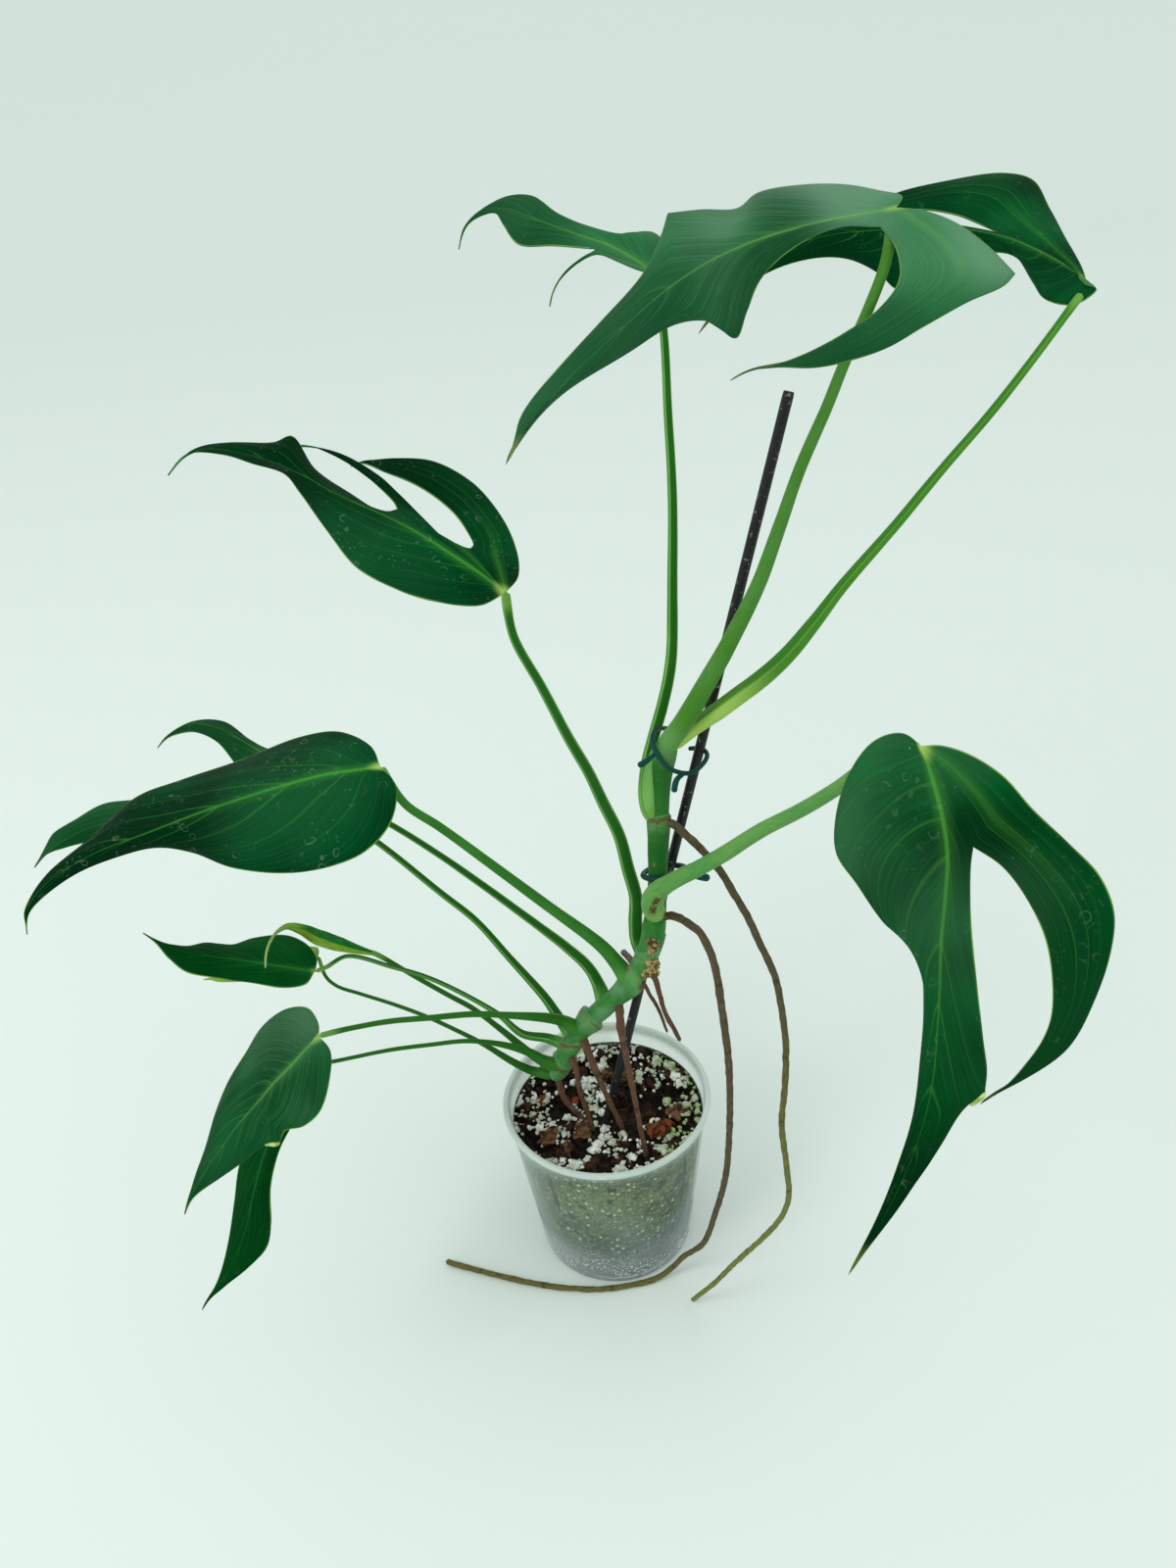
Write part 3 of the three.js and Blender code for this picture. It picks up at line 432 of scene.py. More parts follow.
# Each strip runs from one rail to another. A strip's vein is its first rail, its last, or its middle.
def addLeaf(name, leaf, materials):
    bm = bmesh.new()
    form = {**bladeForm, **leaf}
    turn = turnOf(leaf)
    foot = Vector(leaf["place"])
    rows = whole * rowsPerStep
    seed = leaf["seed"]
    shared = {}
    for left, right, _, _ in leaf["strips"]:
        for spot in left + right:
            shared[spot.freeze()] = shared.get(spot.freeze(), 0) + 1
    for left, right, vein, columns in leaf["strips"]:
        ribs = {"left": left, "right": right, "middle": [a.lerp(b, 0.5) for a, b in zip(left, right)]}[vein]
        count = leaf["veins"]

        def away(column):
            u = column / columns
            return {"left": u, "right": 1 - u, "middle": abs(2 * u - 1)}[vein]

        def phaseAt(column, row):
            w = away(column)
            v = row / rows
            wave = waver(v * 4, w * 2, seed)
            if vein == "middle":
                return 5 * column / columns + 0.8 * v + 0.2 * wave + 40.5
            return count * (v - leaf["slant"] * w ** 1.15) + 0.3 * wave + 40

        def placeAt(column, row):
            u = column / columns
            v = row / rows
            spot = left[row].lerp(right[row], u)
            width = (right[row] - left[row]).length
            thinFrom, thinTo = form["lobeTip" if vein == "middle" else "tip"]
            thinned = ease((v - thinFrom) / (form["thinned"] - thinFrom))
            spot = ribs[row].lerp(spot, 1 - (1 - thinTo) * thinned)
            arch = 4 * u * (1 - u)
            quilt = 0.5 - abs((phaseAt(column, row) % 1) - 0.5) * 2
            lift = arch * width * form["arch"]
            lift -= min(1, arch * 3) * form["quilt"] * quilt * min(1, width / 15)
            lift += arch * form["ripple"] * waver(spot.x * 0.035, spot.y * 0.05, seed)
            spot = turn @ (spot + Vector((0, 0, lift))) + foot
            drip = max(0, (v - form["dripFrom"]) / (1 - form["dripFrom"]))
            return spot + Vector(form["hook"]) * drip ** 2

        def mapAt(column, row):
            u = column / columns
            spot = left[row].lerp(right[row], u)
            distance = (spot - ribs[row]).length + (1.0 if vein == "middle" else 0)
            edges = [(spot - line[row]).length for line in (left, right) if shared[line[row]] == 1]
            edge = min(edges, default=20)
            return (distance / 10, row / rows), (phaseAt(column, row), away(column)), (edge / 10, 0)

        shapedGrid(bm, columns, rows, placeAt, mapAt)
    bmesh.ops.remove_doubles(bm, verts=bm.verts, dist=0.02 * mm)
    bm.normal_update()
    flat = turn @ Vector((0, 0, 1))
    total = sum((face.normal * face.calc_area() for face in bm.faces), Vector())
    if total.dot(flat) < 0:
        bmesh.ops.reverse_faces(bm, faces=bm.faces)
    piece = addPiece(name, bm, materials, [leaf["node"]])
    shell = piece.modifiers.new("thickness", "SOLIDIFY")
    shell.thickness = form["thickness"] * mm
    shell.offset = 0
    shell.material_offset = 1
    shell.material_offset_rim = 2


# Splits the two halves of a blade at its midrib into strips
def halves(near, midrib, far, columns=14):
    return [(near, midrib, "right", columns), (midrib, far, "left", columns)]


start = (0, 0, 0)

# Large blade at the top, with one hooked lobe towards the viewer
tip = (180, 0, 0)
lobeTip = (84, 12, -19)
toNotch = ([start, (5, 1, 0), (10, 3, 0)], 2)
corner = (69, -49, -9)
far = rail(([start, (-6, -3, -1), (-2, -10, -3), (6, -20, -5), (19, -30, -7), (35, -37, -8),
             (46, -36, -8), (58, -43, -8), corner], 8),
           ([corner, (79, -41, -5), (97, -30, -1), (124, -22, 0), (150, -15, 0), (173, -7, 0), tip], 6))
midrib = rail(([start, (19, -6, 2), (47, -14, 4), (72, -18, 5), (94, -18, 5), (117, -15, 4),
                (146, -10, 2), tip], whole))
near = rail(toNotch, ([(10, 3, 0), (22, -5, 0), (40, -9, -2), (58, -7, -5), (70, 0, -8), (78, 5, -11),
                       (83, -4, -8), (97, -9, -4), (119, -9, -3), (150, -8, -1), tip], 12))
lobeInner = rail(toNotch, ([(10, 3, 0), (8, 12, -4), (12, 21, -8), (24, 25, -12), (38, 25, -14),
                            (61, 22, -16), lobeTip], 12))
corner = (-28.5, 44, -8.5)
lobeOuter = rail(([start, (-10, 6, -2), (-19, 16, -4), (-25, 30, -6), corner], 5),
                 ([corner, (-23, 45, -10), (-8, 42, -12), (12, 40, -14), (31, 38, -16), (55, 30, -17),
                   (71, 19, -18), lobeTip], 9))
topFront = {
    "node": "blade_top_front", "place": (137, -6, 560), "heading": -153, "droop": 19, "roll": -45,
    "veins": 7, "slant": 0.52, "seed": 1,
    "strips": halves(near, midrib, far) + [(lobeOuter, lobeInner, "middle", 16)],
}
addLeaf("leaf_top_front", topFront, [leafFront, leafUnder, leafRim])

# Blade at the top right, one long split on the far half and a notch on the near half
tip = (188, -6, -6)
lobeTip = (99, -74, -12)
toNotch = ([start, (8, -17, 0), (19, -30, 0), (33, -40, 0)], 4)
lobeOuter = rail(([start, (-1, -14, -1), (1, -35, -2), (2, -57, -4), (5, -80, -5), (17, -89, -7),
                   (46, -90, -9), (77, -85, -10), lobeTip], whole))
lobeInner = rail(toNotch, ([(33, -40, 0), (40, -51, -3), (49, -61, -5), (63, -69, -7), (82, -73, -9),
                            lobeTip], 10))
far = rail(toNotch, ([(33, -40, 0), (47, -46, 0), (66, -53, 0), (89, -60, 0), (114, -62, 0),
                      (140, -53, 0), (168, -29, -1), tip], 10))
midrib = rail(([start, (9, -13, 2), (21, -23, 4), (34, -32, 5), (60, -42, 5), (90, -46, 4),
                (120, -47, 3), (150, -38, 1), tip], whole))
near = rail(([start, (-5, 1, -2), (3, 6, -4), (10, 5, -6), (18, -1, -7), (21, -13, -7), (27, -26, -3),
              (45, -28, 0), (66, -26, -5), (85, -21, -11), (93, -31, -9), (107, -41, -7),
              (125, -43, -6), (150, -34, -5), tip], whole))
topRight = {
    "node": "blade_top_right", "place": (265, 112, 506), "heading": -179, "droop": 1, "roll": -35,
    "veins": 9, "slant": 0.36, "seed": 2,
    "strips": halves(near, midrib, far) + [(lobeInner, lobeOuter, "middle", 16)],
}
addLeaf("leaf_top_right", topRight, [leafTop, leafUnder, leafRim])

# Blade at the top left, seen low over its face, with a thin drooping lobe
tip = (112, -14, -10)
lobeTip = (53, 12, -15)
far = rail(([start, (1, -18, -2), (7, -33, -3), (15, -38, -3), (24, -28, 0), (40, -29, 0),
             (63, -36, 0), (83, -48, 0), (95, -44, 0), (105, -32, -2), (111, -22, -6), tip], whole))
midrib = rail(([start, (14, -9, 0), (30, -16, 1), (50, -21, 1), (72, -27, 1), (95, -33, 0),
                (108, -25, -3), tip], whole))
toNotch = ([start, (12, -6, 0), (25, -9, 0), (37, -13, 0)], 5)
near = rail(toNotch, ([(37, -13, 0), (58, -10, 0), (75, -8, -1), (88, -20, 0), (96, -29, 0),
                       (108, -24, -4), tip], 9))
lobeInner = rail(toNotch, ([(37, -13, 0), (45, -9, -5), (52, -1, -10), lobeTip], 9))
lobeOuter = rail(([start, (10, -3, -1), (22, -7, -1), (33, -11, -1), (42, -8, -5), (50, 1, -11),
                   lobeTip], whole))
topLeft = {
    "node": "blade_top_left", "place": (59, 129, 524), "heading": 160, "droop": -10, "roll": -25,
    "veins": 7, "slant": 0.47, "seed": 3, "lobeTip": (0.1, 0.24),
    "strips": halves(near, midrib, far) + [(lobeOuter, lobeInner, "middle", 6)],
}
addLeaf("leaf_top_left", topLeft, [leafPale, leafUnder, leafRim])

# Blade at the middle left, two open splits on the far half
tip = (167, -5, -6)
firstTip = (95, -57, -12)
secondTip = (125, -48, -6)
toFirst = ([start, (8, -6, 0), (16, -12.5, 0), (23, -18.5, 0)], 3)
toSecond = ([start, (20, -10, 1), (42, -18, 1), (62, -26, 0)], 6)
near = rail(([start, (9, 10, -3), (31, 16, -5), (50, 15, -7), (70, 10, -8), (89, -4, -7),
              (108, -19, -5), (118, -26, -4), (134, -26, -5), (147, -23, -3), (161, -15, -2), tip], whole))
midrib = rail(([start, (14, -5, 1), (30, -9, 2), (46, -13, 3), (61, -15, 4), (91, -18, 4),
                (111, -23, 3), (135, -24, 2), (156, -18, 0), tip], whole))
far = rail(toSecond, ([(62, -26, 0), (68, -21, 0), (86, -26, -1), (106, -33, -1), (122, -46, 1),
                       (128, -39, 0), (144, -32, -2), (159, -22, -3), tip], 8))
secondInner = rail(toSecond, ([(62, -26, 0), (66, -32, -2), (81, -43, -5), (98, -50, -6),
                               (113, -51, -6), secondTip], 8))
secondOuter = rail(toFirst, ([(23, -18.5, 0), (26.5, -16.4, 0), (36, -18.6, 0), (50, -27, 0),
                              (65, -38, -2), (78, -46.5, -4), (99, -53, -6), secondTip], 11))
firstInner = rail(toFirst, ([(23, -18.5, 0), (22.4, -22.5, -1), (27, -30, -2.5), (39, -42.5, -5),
                             (59, -53, -8), (80, -57, -11), firstTip], 11))
firstOuter = rail(([start, (-3, -14, -2), (2, -31, -3), (15, -50, -4), (35, -66, -5), (57, -72, -7),
                    (76, -67, -10), firstTip], whole))
midLeft = {
    "node": "blade_mid_left", "place": (-27, 39, 403), "heading": 173, "droop": -24, "roll": -25,
    "veins": 8, "slant": 0.44, "seed": 4,
    "strips": halves(near, midrib, far) + [(secondInner, secondOuter, "middle", 10),
                                           (firstInner, firstOuter, "middle", 16)],
}
addLeaf("leaf_mid_left", midLeft, [leafSpotted, leafUnder, leafRim])


# A blade without splits
def addWhole(name, leaf, materials):
    rails = [rail((leaf[key], whole)) for key in ("near", "midrib", "far")]
    leaf["strips"] = halves(*rails)
    addLeaf(name, leaf, materials)


leftBroad = {
    "node": "blade_left_broad", "place": (-87, -32, 354), "heading": -166, "droop": 15, "roll": -25,
    "veins": 7, "slant": 0.48, "seed": 5,
    "near": [start, (-3, 10, -3), (5, 24, -7), (22, 31, -10), (50, 25, -12.5), (78, 8, -12.5),
             (93, -7, -9), (106, -14, -4), (124, -17, -2), (144, -17, -1), (166, -13, -5),
             (175, -9, -12)],
    "midrib": [start, (12, -3, 2), (24, -6, 4), (51, -10, 6), (78, -13, 7), (106, -16, 6),
               (133, -19, 4), (156, -17, 1), (168, -13, -4), (175, -9, -12)],
    "far": [start, (1, -15, -3), (13, -33, -6), (31, -41, -8), (60, -43, -8), (89, -46, -7),
            (110, -46, -5), (133, -33, -2), (156, -22, 0), (171, -12, -5), (175, -9, -12)],
}
addWhole("leaf_left_broad", leftBroad, [leafSpotted, leafUnder, leafRim])

leftLower = {
    "node": "blade_left_lower", "place": (-121, 8, 304), "heading": -177, "droop": 2, "roll": -25,
    "veins": 6, "slant": 0.57, "seed": 6,
    "near": [start, (2, 11, -5), (20, 17, -7), (48, 12, -6), (74, 2, -6), (97, -4, -6),
             (123, -9, -3), (139, -6, -1), (151, 0, 0)],
    "midrib": [start, (25, -3, 4), (55, -8, 6), (93, -14, 5), (125, -13, 3), (151, 0, 0)],
    "far": [start, (2, -18, -4), (20, -32, -6), (50, -36, -5), (80, -32, -2), (102, -29, 0),
            (119, -29, 0), (132, -22, 0), (144, -14, 0), (151, 0, 0)],
}
addWhole("leaf_left_lower", leftLower, [leafPale, leafUnder, leafRim])

leftUpper = {
    "node": "blade_left_upper", "place": (-123, 58, 281), "heading": 164, "droop": -16, "roll": -25,
    "veins": 7, "slant": 0.57, "seed": 7,
    "near": [start, (2, 15, -5), (18, 24, -8), (42, 14, -6), (71, -3, -2), (87, -12, 0),
             (103, -13, -1), (119, -2, -5)],
    "midrib": [start, (20, -2, 3), (45, -8, 5), (66, -13, 5), (88, -18, 4), (106, -16, 1),
               (119, -2, -5)],
    "far": [start, (1, -14, -4), (16, -27, -5), (36, -26, -3), (57, -17, 0), (70, -19, 0),
            (89, -25, 0), (106, -19, -1), (119, -2, -5)],
}
addWhole("leaf_left_upper", leftUpper, [leafPale, leafUnder, leafRim])

lowDark = {
    "node": "blade_low_dark", "place": (-142, -19, 231), "heading": 171, "droop": -14, "roll": 0,
    "veins": 6, "slant": 0.57, "seed": 8, "hook": (-1, 0, 2),
    "near": [start, (2, 8, -2), (13, 12, -4), (28, 12, -5), (48, 14, -5), (61, 15, -4), (72, 10, -2),
             (88, 0, 0)],
    "midrib": [start, (10, 2, 1), (24, 4, 2), (38, 6, 3), (53, 8, 3), (67, 7, 1), (88, 0, 0)],
    "far": [start, (3, -12, -2), (12, -22, -3), (24, -26, -4), (39, -20, -5), (47, -11.5, -4.5),
            (53, -9.5, -4), (60, -7, -3), (67, -1.5, -2.5), (75, 1.2, -1), (88, 0, 0)],
}
addWhole("leaf_low_dark", lowDark, [leafDark, leafUnder, leafRim])

lowFront = {
    "node": "blade_low_front", "place": (-133, -66, 230), "heading": -140, "droop": 31, "roll": -10,
    "veins": 6, "slant": 0.62, "seed": 9,
    "near": [start, (2.5, 6.5, -6), (14, 15, -9), (27, 20.5, -9.5), (36, 19, -8), (42.5, 14.2, -5.5),
             (48, 16.5, -4), (53, 11.5, -3), (66, 8, -2), (84, 2, -1), (97, 0, 0)],
    "midrib": [start, (10, -0.6, 1.4), (19, -1, 2), (29, -1.7, 3), (38, -2, 3), (47, -2.5, 3),
               (56, -3, 3), (66, -2.6, 2.6), (76, -2.2, 2.2), (86, -1.4, 1), (97, 0, 0)],
    "far": [start, (-4, -6, -2), (-6, -18, -4), (2, -30, -6), (15, -35, -7), (29, -33, -7),
            (43, -30, -6), (57, -24, -5), (72, -14, -3), (86, -6, -1), (97, 0, 0)],
}
addWhole("leaf_low_front", lowFront, [leafPale, leafUnder, leafRim])

lowHanging = {
    "node": "blade_low_hanging", "place": (-145, -51, 198), "heading": -133, "droop": 45, "roll": 0,
    "veins": 7, "slant": 0.62, "seed": 10,
    "near": [start, (5, 5, -3), (22, 3.5, -3), (44, 3.5, -1), (60, 9, 0), (74, 19, 0), (84, 23, 0),
             (99, 17, 0), (128, 0, 0)],
    "midrib": [start, (19, -2, 2), (44, -1, 4), (62, 4, 5), (85, 9, 3), (107, 8, 1), (128, 0, 0)],
    "far": [start, (2, -10, -3), (18, -20, -4), (42, -21, -2), (62, -16, 0), (77, -9, 0),
            (95, -1, 0), (112, 3, 0), (128, 0, 0)],
}
addWhole("leaf_low_hanging", lowHanging, [leafDark, leafUnder, leafRim])

small = {
    "node": "blade_small", "place": (-148, 12, 216), "heading": 178, "droop": 10, "roll": -10,
    "veins": 5, "slant": 0.57, "seed": 11, "hook": (0, 0, 0),
    "near": [start, (2, 6, -2), (12, 10, -3), (28, 9, -3), (44, 5, -2), (56, 3, -1), (66, 0, 0)],
    "midrib": [start, (20, 1, 2), (44, 0, 2), (66, 0, 0)],
    "far": [start, (2, -8, -2), (12, -12, -3), (28, -11, -3), (46, -6, -2), (58, -2, -1), (66, 0, 0)],
}
addWhole("leaf_small", small, [limeLeaf, leafUnder, leafRim])

# Large blade on the right, hanging down, with one long hooked lobe
tip = (195, 0, 0)
lobeTip = (125, 34, -20)
toNotch = ([start, (9, 9, 1), (21, 17, 1), (33, 23, 0)], 4)
far = rail(([start, (-4, -8, -3), (0, -19, -6), (12, -27, -8), (29, -31, -10), (44, -29, -10),
             (54, -19, -8), (66, -6, -5), (71, 4, -2), (79, 11, 0), (93, 14, 0), (111, 15, -1),
             (133, 15, -2), (152, 12, -2), (173, 7, 0), tip], whole))
midrib = rail(([start, (11, 6, 2), (24, 12, 4), (38, 16, 5), (67, 18, 6), (90, 20, 5), (120, 21, 3),
                (143, 18, 1), (166, 12, 0), tip], whole))
corner = (118, 37.8, -4)
near = rail(toNotch, ([(33, 23, 0), (40, 23, 0), (55, 25, 0), (69, 28, 0), (86, 32, -1), (99, 35, -2),
                       (110, 37.4, -4), corner], 6),
            ([corner, (126, 31.5, -3), (140, 26, -2), (155, 20, -1), (172, 13, 0), tip], 4))
lobeInner = rail(toNotch, ([(33, 23, 0), (38, 33, -1), (47, 42, -2), (60, 50, -4), (74, 54, -6),
                            (89, 55, -9), (102, 51, -12), (117, 42, -16), lobeTip], 10))
lobeOuter = rail(([start, (-1, 7, -1), (1, 17, -3), (7, 29, -4), (17, 40, -5), (27, 53, -6),
                   (36, 64, -6), (47, 70, -7), (60, 71, -8), (79, 68, -10), (97, 62, -13),
                   (111, 51, -16), lobeTip], whole))
right = {
    "node": "blade_right", "place": (125, -124, 396), "heading": -114, "droop": 60, "roll": 10,
    "veins": 9, "slant": 0.27, "seed": 12,
    "strips": halves(near, midrib, far) + [(lobeOuter, lobeInner, "middle", 16)],
}
addLeaf("leaf_right", right, [leafRight, leafUnder, leafRim])


# A curled bit of leaf edge, lime and a few millimetres long, at its place on a blade
def addCurl(name, leaf, points, radius):
    bm = bmesh.new()
    line = [turnOf(leaf) @ Vector(point) + Vector(leaf["place"]) for point in points]
    tube(bm, line, 12, 14, lambda angle, t, along: radius * (0.7 + 0.5 * math.sin(math.pi * t)))
    flipOutward(bm)
    addPiece(name, bm, [curlEdge], [])


curlEdge = plainMaterial("curled_leaf_edge", "#86a83c", "#c9dc94", 0.5, 300)
addCurl("right_curl", right,
        [(117.2, 37.2, -4.2), (119.6, 37, -4.4), (121.8, 35.4, -4.6), (124.4, 33.6, -4.2)], 1.0)
addCurl("low_front_curl", lowFront,
        [(52.6, 11.2, -2.8), (50.8, 13.6, -3), (49.2, 16, -3.6), (47.4, 16.8, -4.2)], 0.9)

print("stage: stalks and stem")


# How far round a tube a place is, from 0 to 0.5 at its seam, how far along in centimetres,
# and streaks along it that mirror at the seam, so that none shows
def addStreaks(add, fineness, *settings):
    spot = add("UVMap", firstMap)
    side = add("Math", positive, add("Math", minus, add("SeparateXYZ", {}, spot), 0.5))
    along = add("SeparateXYZ", {}, spot, out=1)
    stretched = add("CombineXYZ", {}, add("Math", times, side, fineness), along)
    return side, along, add("TexNoise", {}, stretched, None, *settings)


# Petiole: smooth and waxy, painted shade darkening the channel between two pale edges along its upper side,
# fine lengthwise streaks, and a paler sheath where it leaves the stem
def stalkMaterial(name, look):
    material, add, finish = startMaterial(name)
    place = add("TexCoord", {}, out=3)
    side, along, streaks = addStreaks(add, 22, 1.6, 3)
    toBlade = add("SeparateXYZ", {}, add("UVMap", secondMap), out=1)
    blotches = add("TexNoise", {}, place, None, 38, 2)
    back, channel, sheath = [paint(look[key]) for key in ("back", "channel", "sheath")]
    reach = look["reach"]
    mottle = add("MapRange", smooth, blotches, 0.3, 0.7, 0, look.get("mottle", 0.4))
    colour = add("MixRGB", {}, mottle, back, sheath)
    colour = add("MixRGB", {}, add("MapRange", smooth, streaks, 0.4, 0.7, 0, 0.35), colour, channel)
    colour = add("MixRGB", {}, add("MapRange", smooth, along, reach * 0.4, reach, 0.8, 0), colour, sheath)
    beyond = add("MapRange", smooth, along, reach * 0.7, reach * 1.3, look.get("within", 0.25), 0.85)
    # painted shade in the groove: the channel colour fills it, weaker near the stem
    inside = add("MapRange", smooth, side, 0.36, 0.41)
    colour = add("MixRGB", {}, add("Math", times, inside, beyond), colour, channel)

    # the pale edges of the channel, about half a millimetre wide
    line = add("Math", times, add("MapRange", smooth, side, 0.325, 0.35),
               add("MapRange", smooth, side, 0.35, 0.372, look["line"], 0))
    colour = add("MixRGB", {}, add("Math", times, line, beyond), colour, paint("#a3c27c"))
    colour = add("MixRGB", {}, add("MapRange", smooth, toBlade, 0.5, 1.3, 0.55, 0), colour, paint("#7fb052"))
    dots = add("MapRange", smooth, add("TexVoronoi", {}, place, None, 260), 0.06, 0.14, 0.5, 0)
    dotHere = add("MapRange", smooth, add("TexNoise", {}, place, None, 45, 1), 0.55, 0.65)
    colour = add("MixRGB", {}, add("Math", times, dots, dotHere), colour, paint("#3d3a1c"))

    # a dry brown scar 15 to 35 mm from the stem, along the front of one of them
    scar = add("Math", times, add("MapRange", smooth, along, 1.3, 1.9),
               add("MapRange", smooth, along, 3.0, 3.6, 1, 0))
    scar = add("Math", times, scar, add("MapRange", smooth, side, 0.025, 0.075, 1, 0))
    torn = add("TexNoise", {}, place, None, 190, 4)
    scar = add("Math", times, scar, add("MapRange", smooth, torn, 0.42, 0.5, 0, look.get("scar", 0)))
    colour = add("MixRGB", {}, scar, colour, paint("#55401c"))
    height = add("Math", plus, streaks, add("Math", times, add("TexNoise", {}, place, None, 300, 2), 0.4))
    finish(Base_Color=colour, Roughness=add("MapRange", smooth, blotches, 0.3, 0.7, 0.4, 0.52),
           Specular_IOR_Level=0.1, Normal=add("Bump", {}, Height=height, Distance=0.0003, Strength=0.4))
    return material


petioleSkin = stalkMaterial("petiole_skin", {
    "back": "#2f7422", "channel": "#1a5c18", "sheath": "#4c8c38", "reach": 1.6, "line": 0.4})
petiolePale = stalkMaterial("petiole_skin_pale", {
    "back": "#437d24", "channel": "#2f6a20", "sheath": "#5f9650", "reach": 2.4, "line": 0.4})
petioleDark = stalkMaterial("petiole_skin_shaded", {
    "back": "#3f8430", "channel": "#165612", "sheath": "#5a9444", "reach": 1.2, "line": 0.7})
petioleLow = stalkMaterial("petiole_skin_low", {
    "back": "#256418", "channel": "#1c5414", "sheath": "#3c7c2c", "reach": 2.0, "line": 0.2})
petioleTall = stalkMaterial("petiole_skin_sheathed", {
    "back": "#3a8426", "channel": "#0e5608", "sheath": "#6aa84c", "reach": 3.0, "line": 0.8})
petioleLime = stalkMaterial("petiole_sheath", {
    "back": "#3f8620", "channel": "#357c1c", "sheath": "#accf62", "reach": 6.5, "line": 0.35, "within": 0.8,
    "mottle": 0.1})
petioleRight = stalkMaterial("petiole_skin_scarred", {
    "back": "#54934a", "channel": "#2f7028", "sheath": "#86ad58", "reach": 2.0, "line": 0.5, "scar": 1.0})


# Young leaf, still half rolled: green on top, lime below, its long tip a pale strap
def youngMaterial():
    material, add, finish = startMaterial("young_leaf_skin")
    spot = add("UVMap", firstMap)
    around = add("SeparateXYZ", {}, spot)
    along = add("SeparateXYZ", {}, add("UVMap", secondMap))
    place = add("TexCoord", {}, out=3)
    stretched = add("CombineXYZ", {}, add("Math", times, around, 20), add("SeparateXYZ", {}, spot, out=1))
    streaks = add("TexNoise", {}, stretched, None, 1.5, 3)
    streaky = add("MapRange", smooth, streaks, 0.35, 0.65)
    lime = add("MixRGB", {}, streaky, paint("#5c9a1c"), paint("#8cae34"))
    brown = add("MapRange", smooth, add("TexNoise", {}, place, None, 90, 2), 0.5, 0.7, 0, 0.5)
    lime = add("MixRGB", {}, brown, lime, paint("#8a6f24"))
    green = add("MixRGB", {}, streaky, paint("#0c5c1c"), paint("#1f7a2a"))
    lower = add("Math", times, add("MapRange", smooth, around, 0.4, 0.44),
                add("MapRange", smooth, around, 0.8, 0.84, 1, 0))
    limeHere = add("Math", most, lower, add("MapRange", smooth, along, 0.5, 0.62))
    colour = add("MixRGB", {}, limeHere, green, lime)
    colour = add("MixRGB", {}, add("MapRange", smooth, along, 0.55, 0.9), colour, paint("#94b26a"))
    finish(Base_Color=colour, Roughness=0.45, Specular_IOR_Level=0.15,
           Normal=add("Bump", {}, Height=streaks, Distance=0.0004, Strength=0.5))
    return material


youngSkin = youngMaterial()


# Stem: waxy green with a grey-blue bloom, brown dry edges on the collars and corky marks
def stemMaterial():
    material, add, finish = startMaterial("stem_skin")
    place = add("TexCoord", {}, out=3)
    level = add("SeparateXYZ", {}, place, out=2)
    _, _, streaks = addStreaks(add, 30, 1.5, 3)
    blotches = add("TexNoise", {}, place, None, 55, 3)
    colour = add("MixRGB", {}, add("MapRange", smooth, blotches, 0.35, 0.65), paint("#1f6a20"),
                 paint("#3f8632"))
    colour = add("MixRGB", {}, add("MapRange", smooth, streaks, 0.4, 0.7, 0, 0.4), colour, paint("#17591a"))

    # darker above 235 mm, and the bloom below 250 mm
    high = add("MapRange", smooth, level, 0.235, 0.275, 0, 0.55)
    colour = add("MixRGB", {}, high, colour, paint("#0f551a"))
    bloom = add("MapRange", smooth, add("TexNoise", {}, place, None, 70, 3), 0.36, 0.66, 0.1, 0.75)
    low = add("MapRange", smooth, level, 0.2, 0.25, 1, 0)
    colour = add("MixRGB", {}, add("Math", times, bloom, low), colour, paint("#6a9a6e"))

    # collars pale towards their edge, which is brown and dry in places, and corky marks of about 8 mm
    ragged = add("MapRange", smooth, add("TexNoise", {}, place, None, 260, 2), 0.3, 0.7, -0.12, 0.12)
    nearEdge = add("Math", plus, add("SeparateXYZ", {}, add("UVMap", thirdMap)), ragged)
    colour = add("MixRGB", {}, add("MapRange", smooth, nearEdge, 0.2, 0.8, 0, 0.45), colour, paint("#6f9c64"))
    dry = add("Math", times, add("MapRange", smooth, nearEdge, 0.84, 0.97, 0, 0.9),
              add("MapRange", smooth, add("TexNoise", {}, place, None, 60, 1), 0.42, 0.56))
    dry = add("Math", times, dry, add("MapRange", smooth, level, 0.315, 0.322, 1, 0))
    colour = add("MixRGB", {}, dry, colour, paint("#5c4f2e"))
    cork = add("MapRange", smooth, add("TexNoise", {}, place, None, 130, 3), 0.66, 0.73, 0, 0.75)
    colour = add("MixRGB", {}, cork, colour, paint("#6f6a40"))
    grain = add("Math", times, add("TexNoise", {}, place, None, 240, 3), 0.5)
    height = add("Math", plus, add("Math", times, streaks, 0.6), grain)
    finish(Base_Color=colour, Roughness=add("MapRange", smooth, blotches, 0.3, 0.7, 0.42, 0.58),
           Specular_IOR_Level=0.12, Normal=add("Bump", {}, Height=height, Distance=0.0005, Strength=0.5))
    return material


stemSkin = stemMaterial()


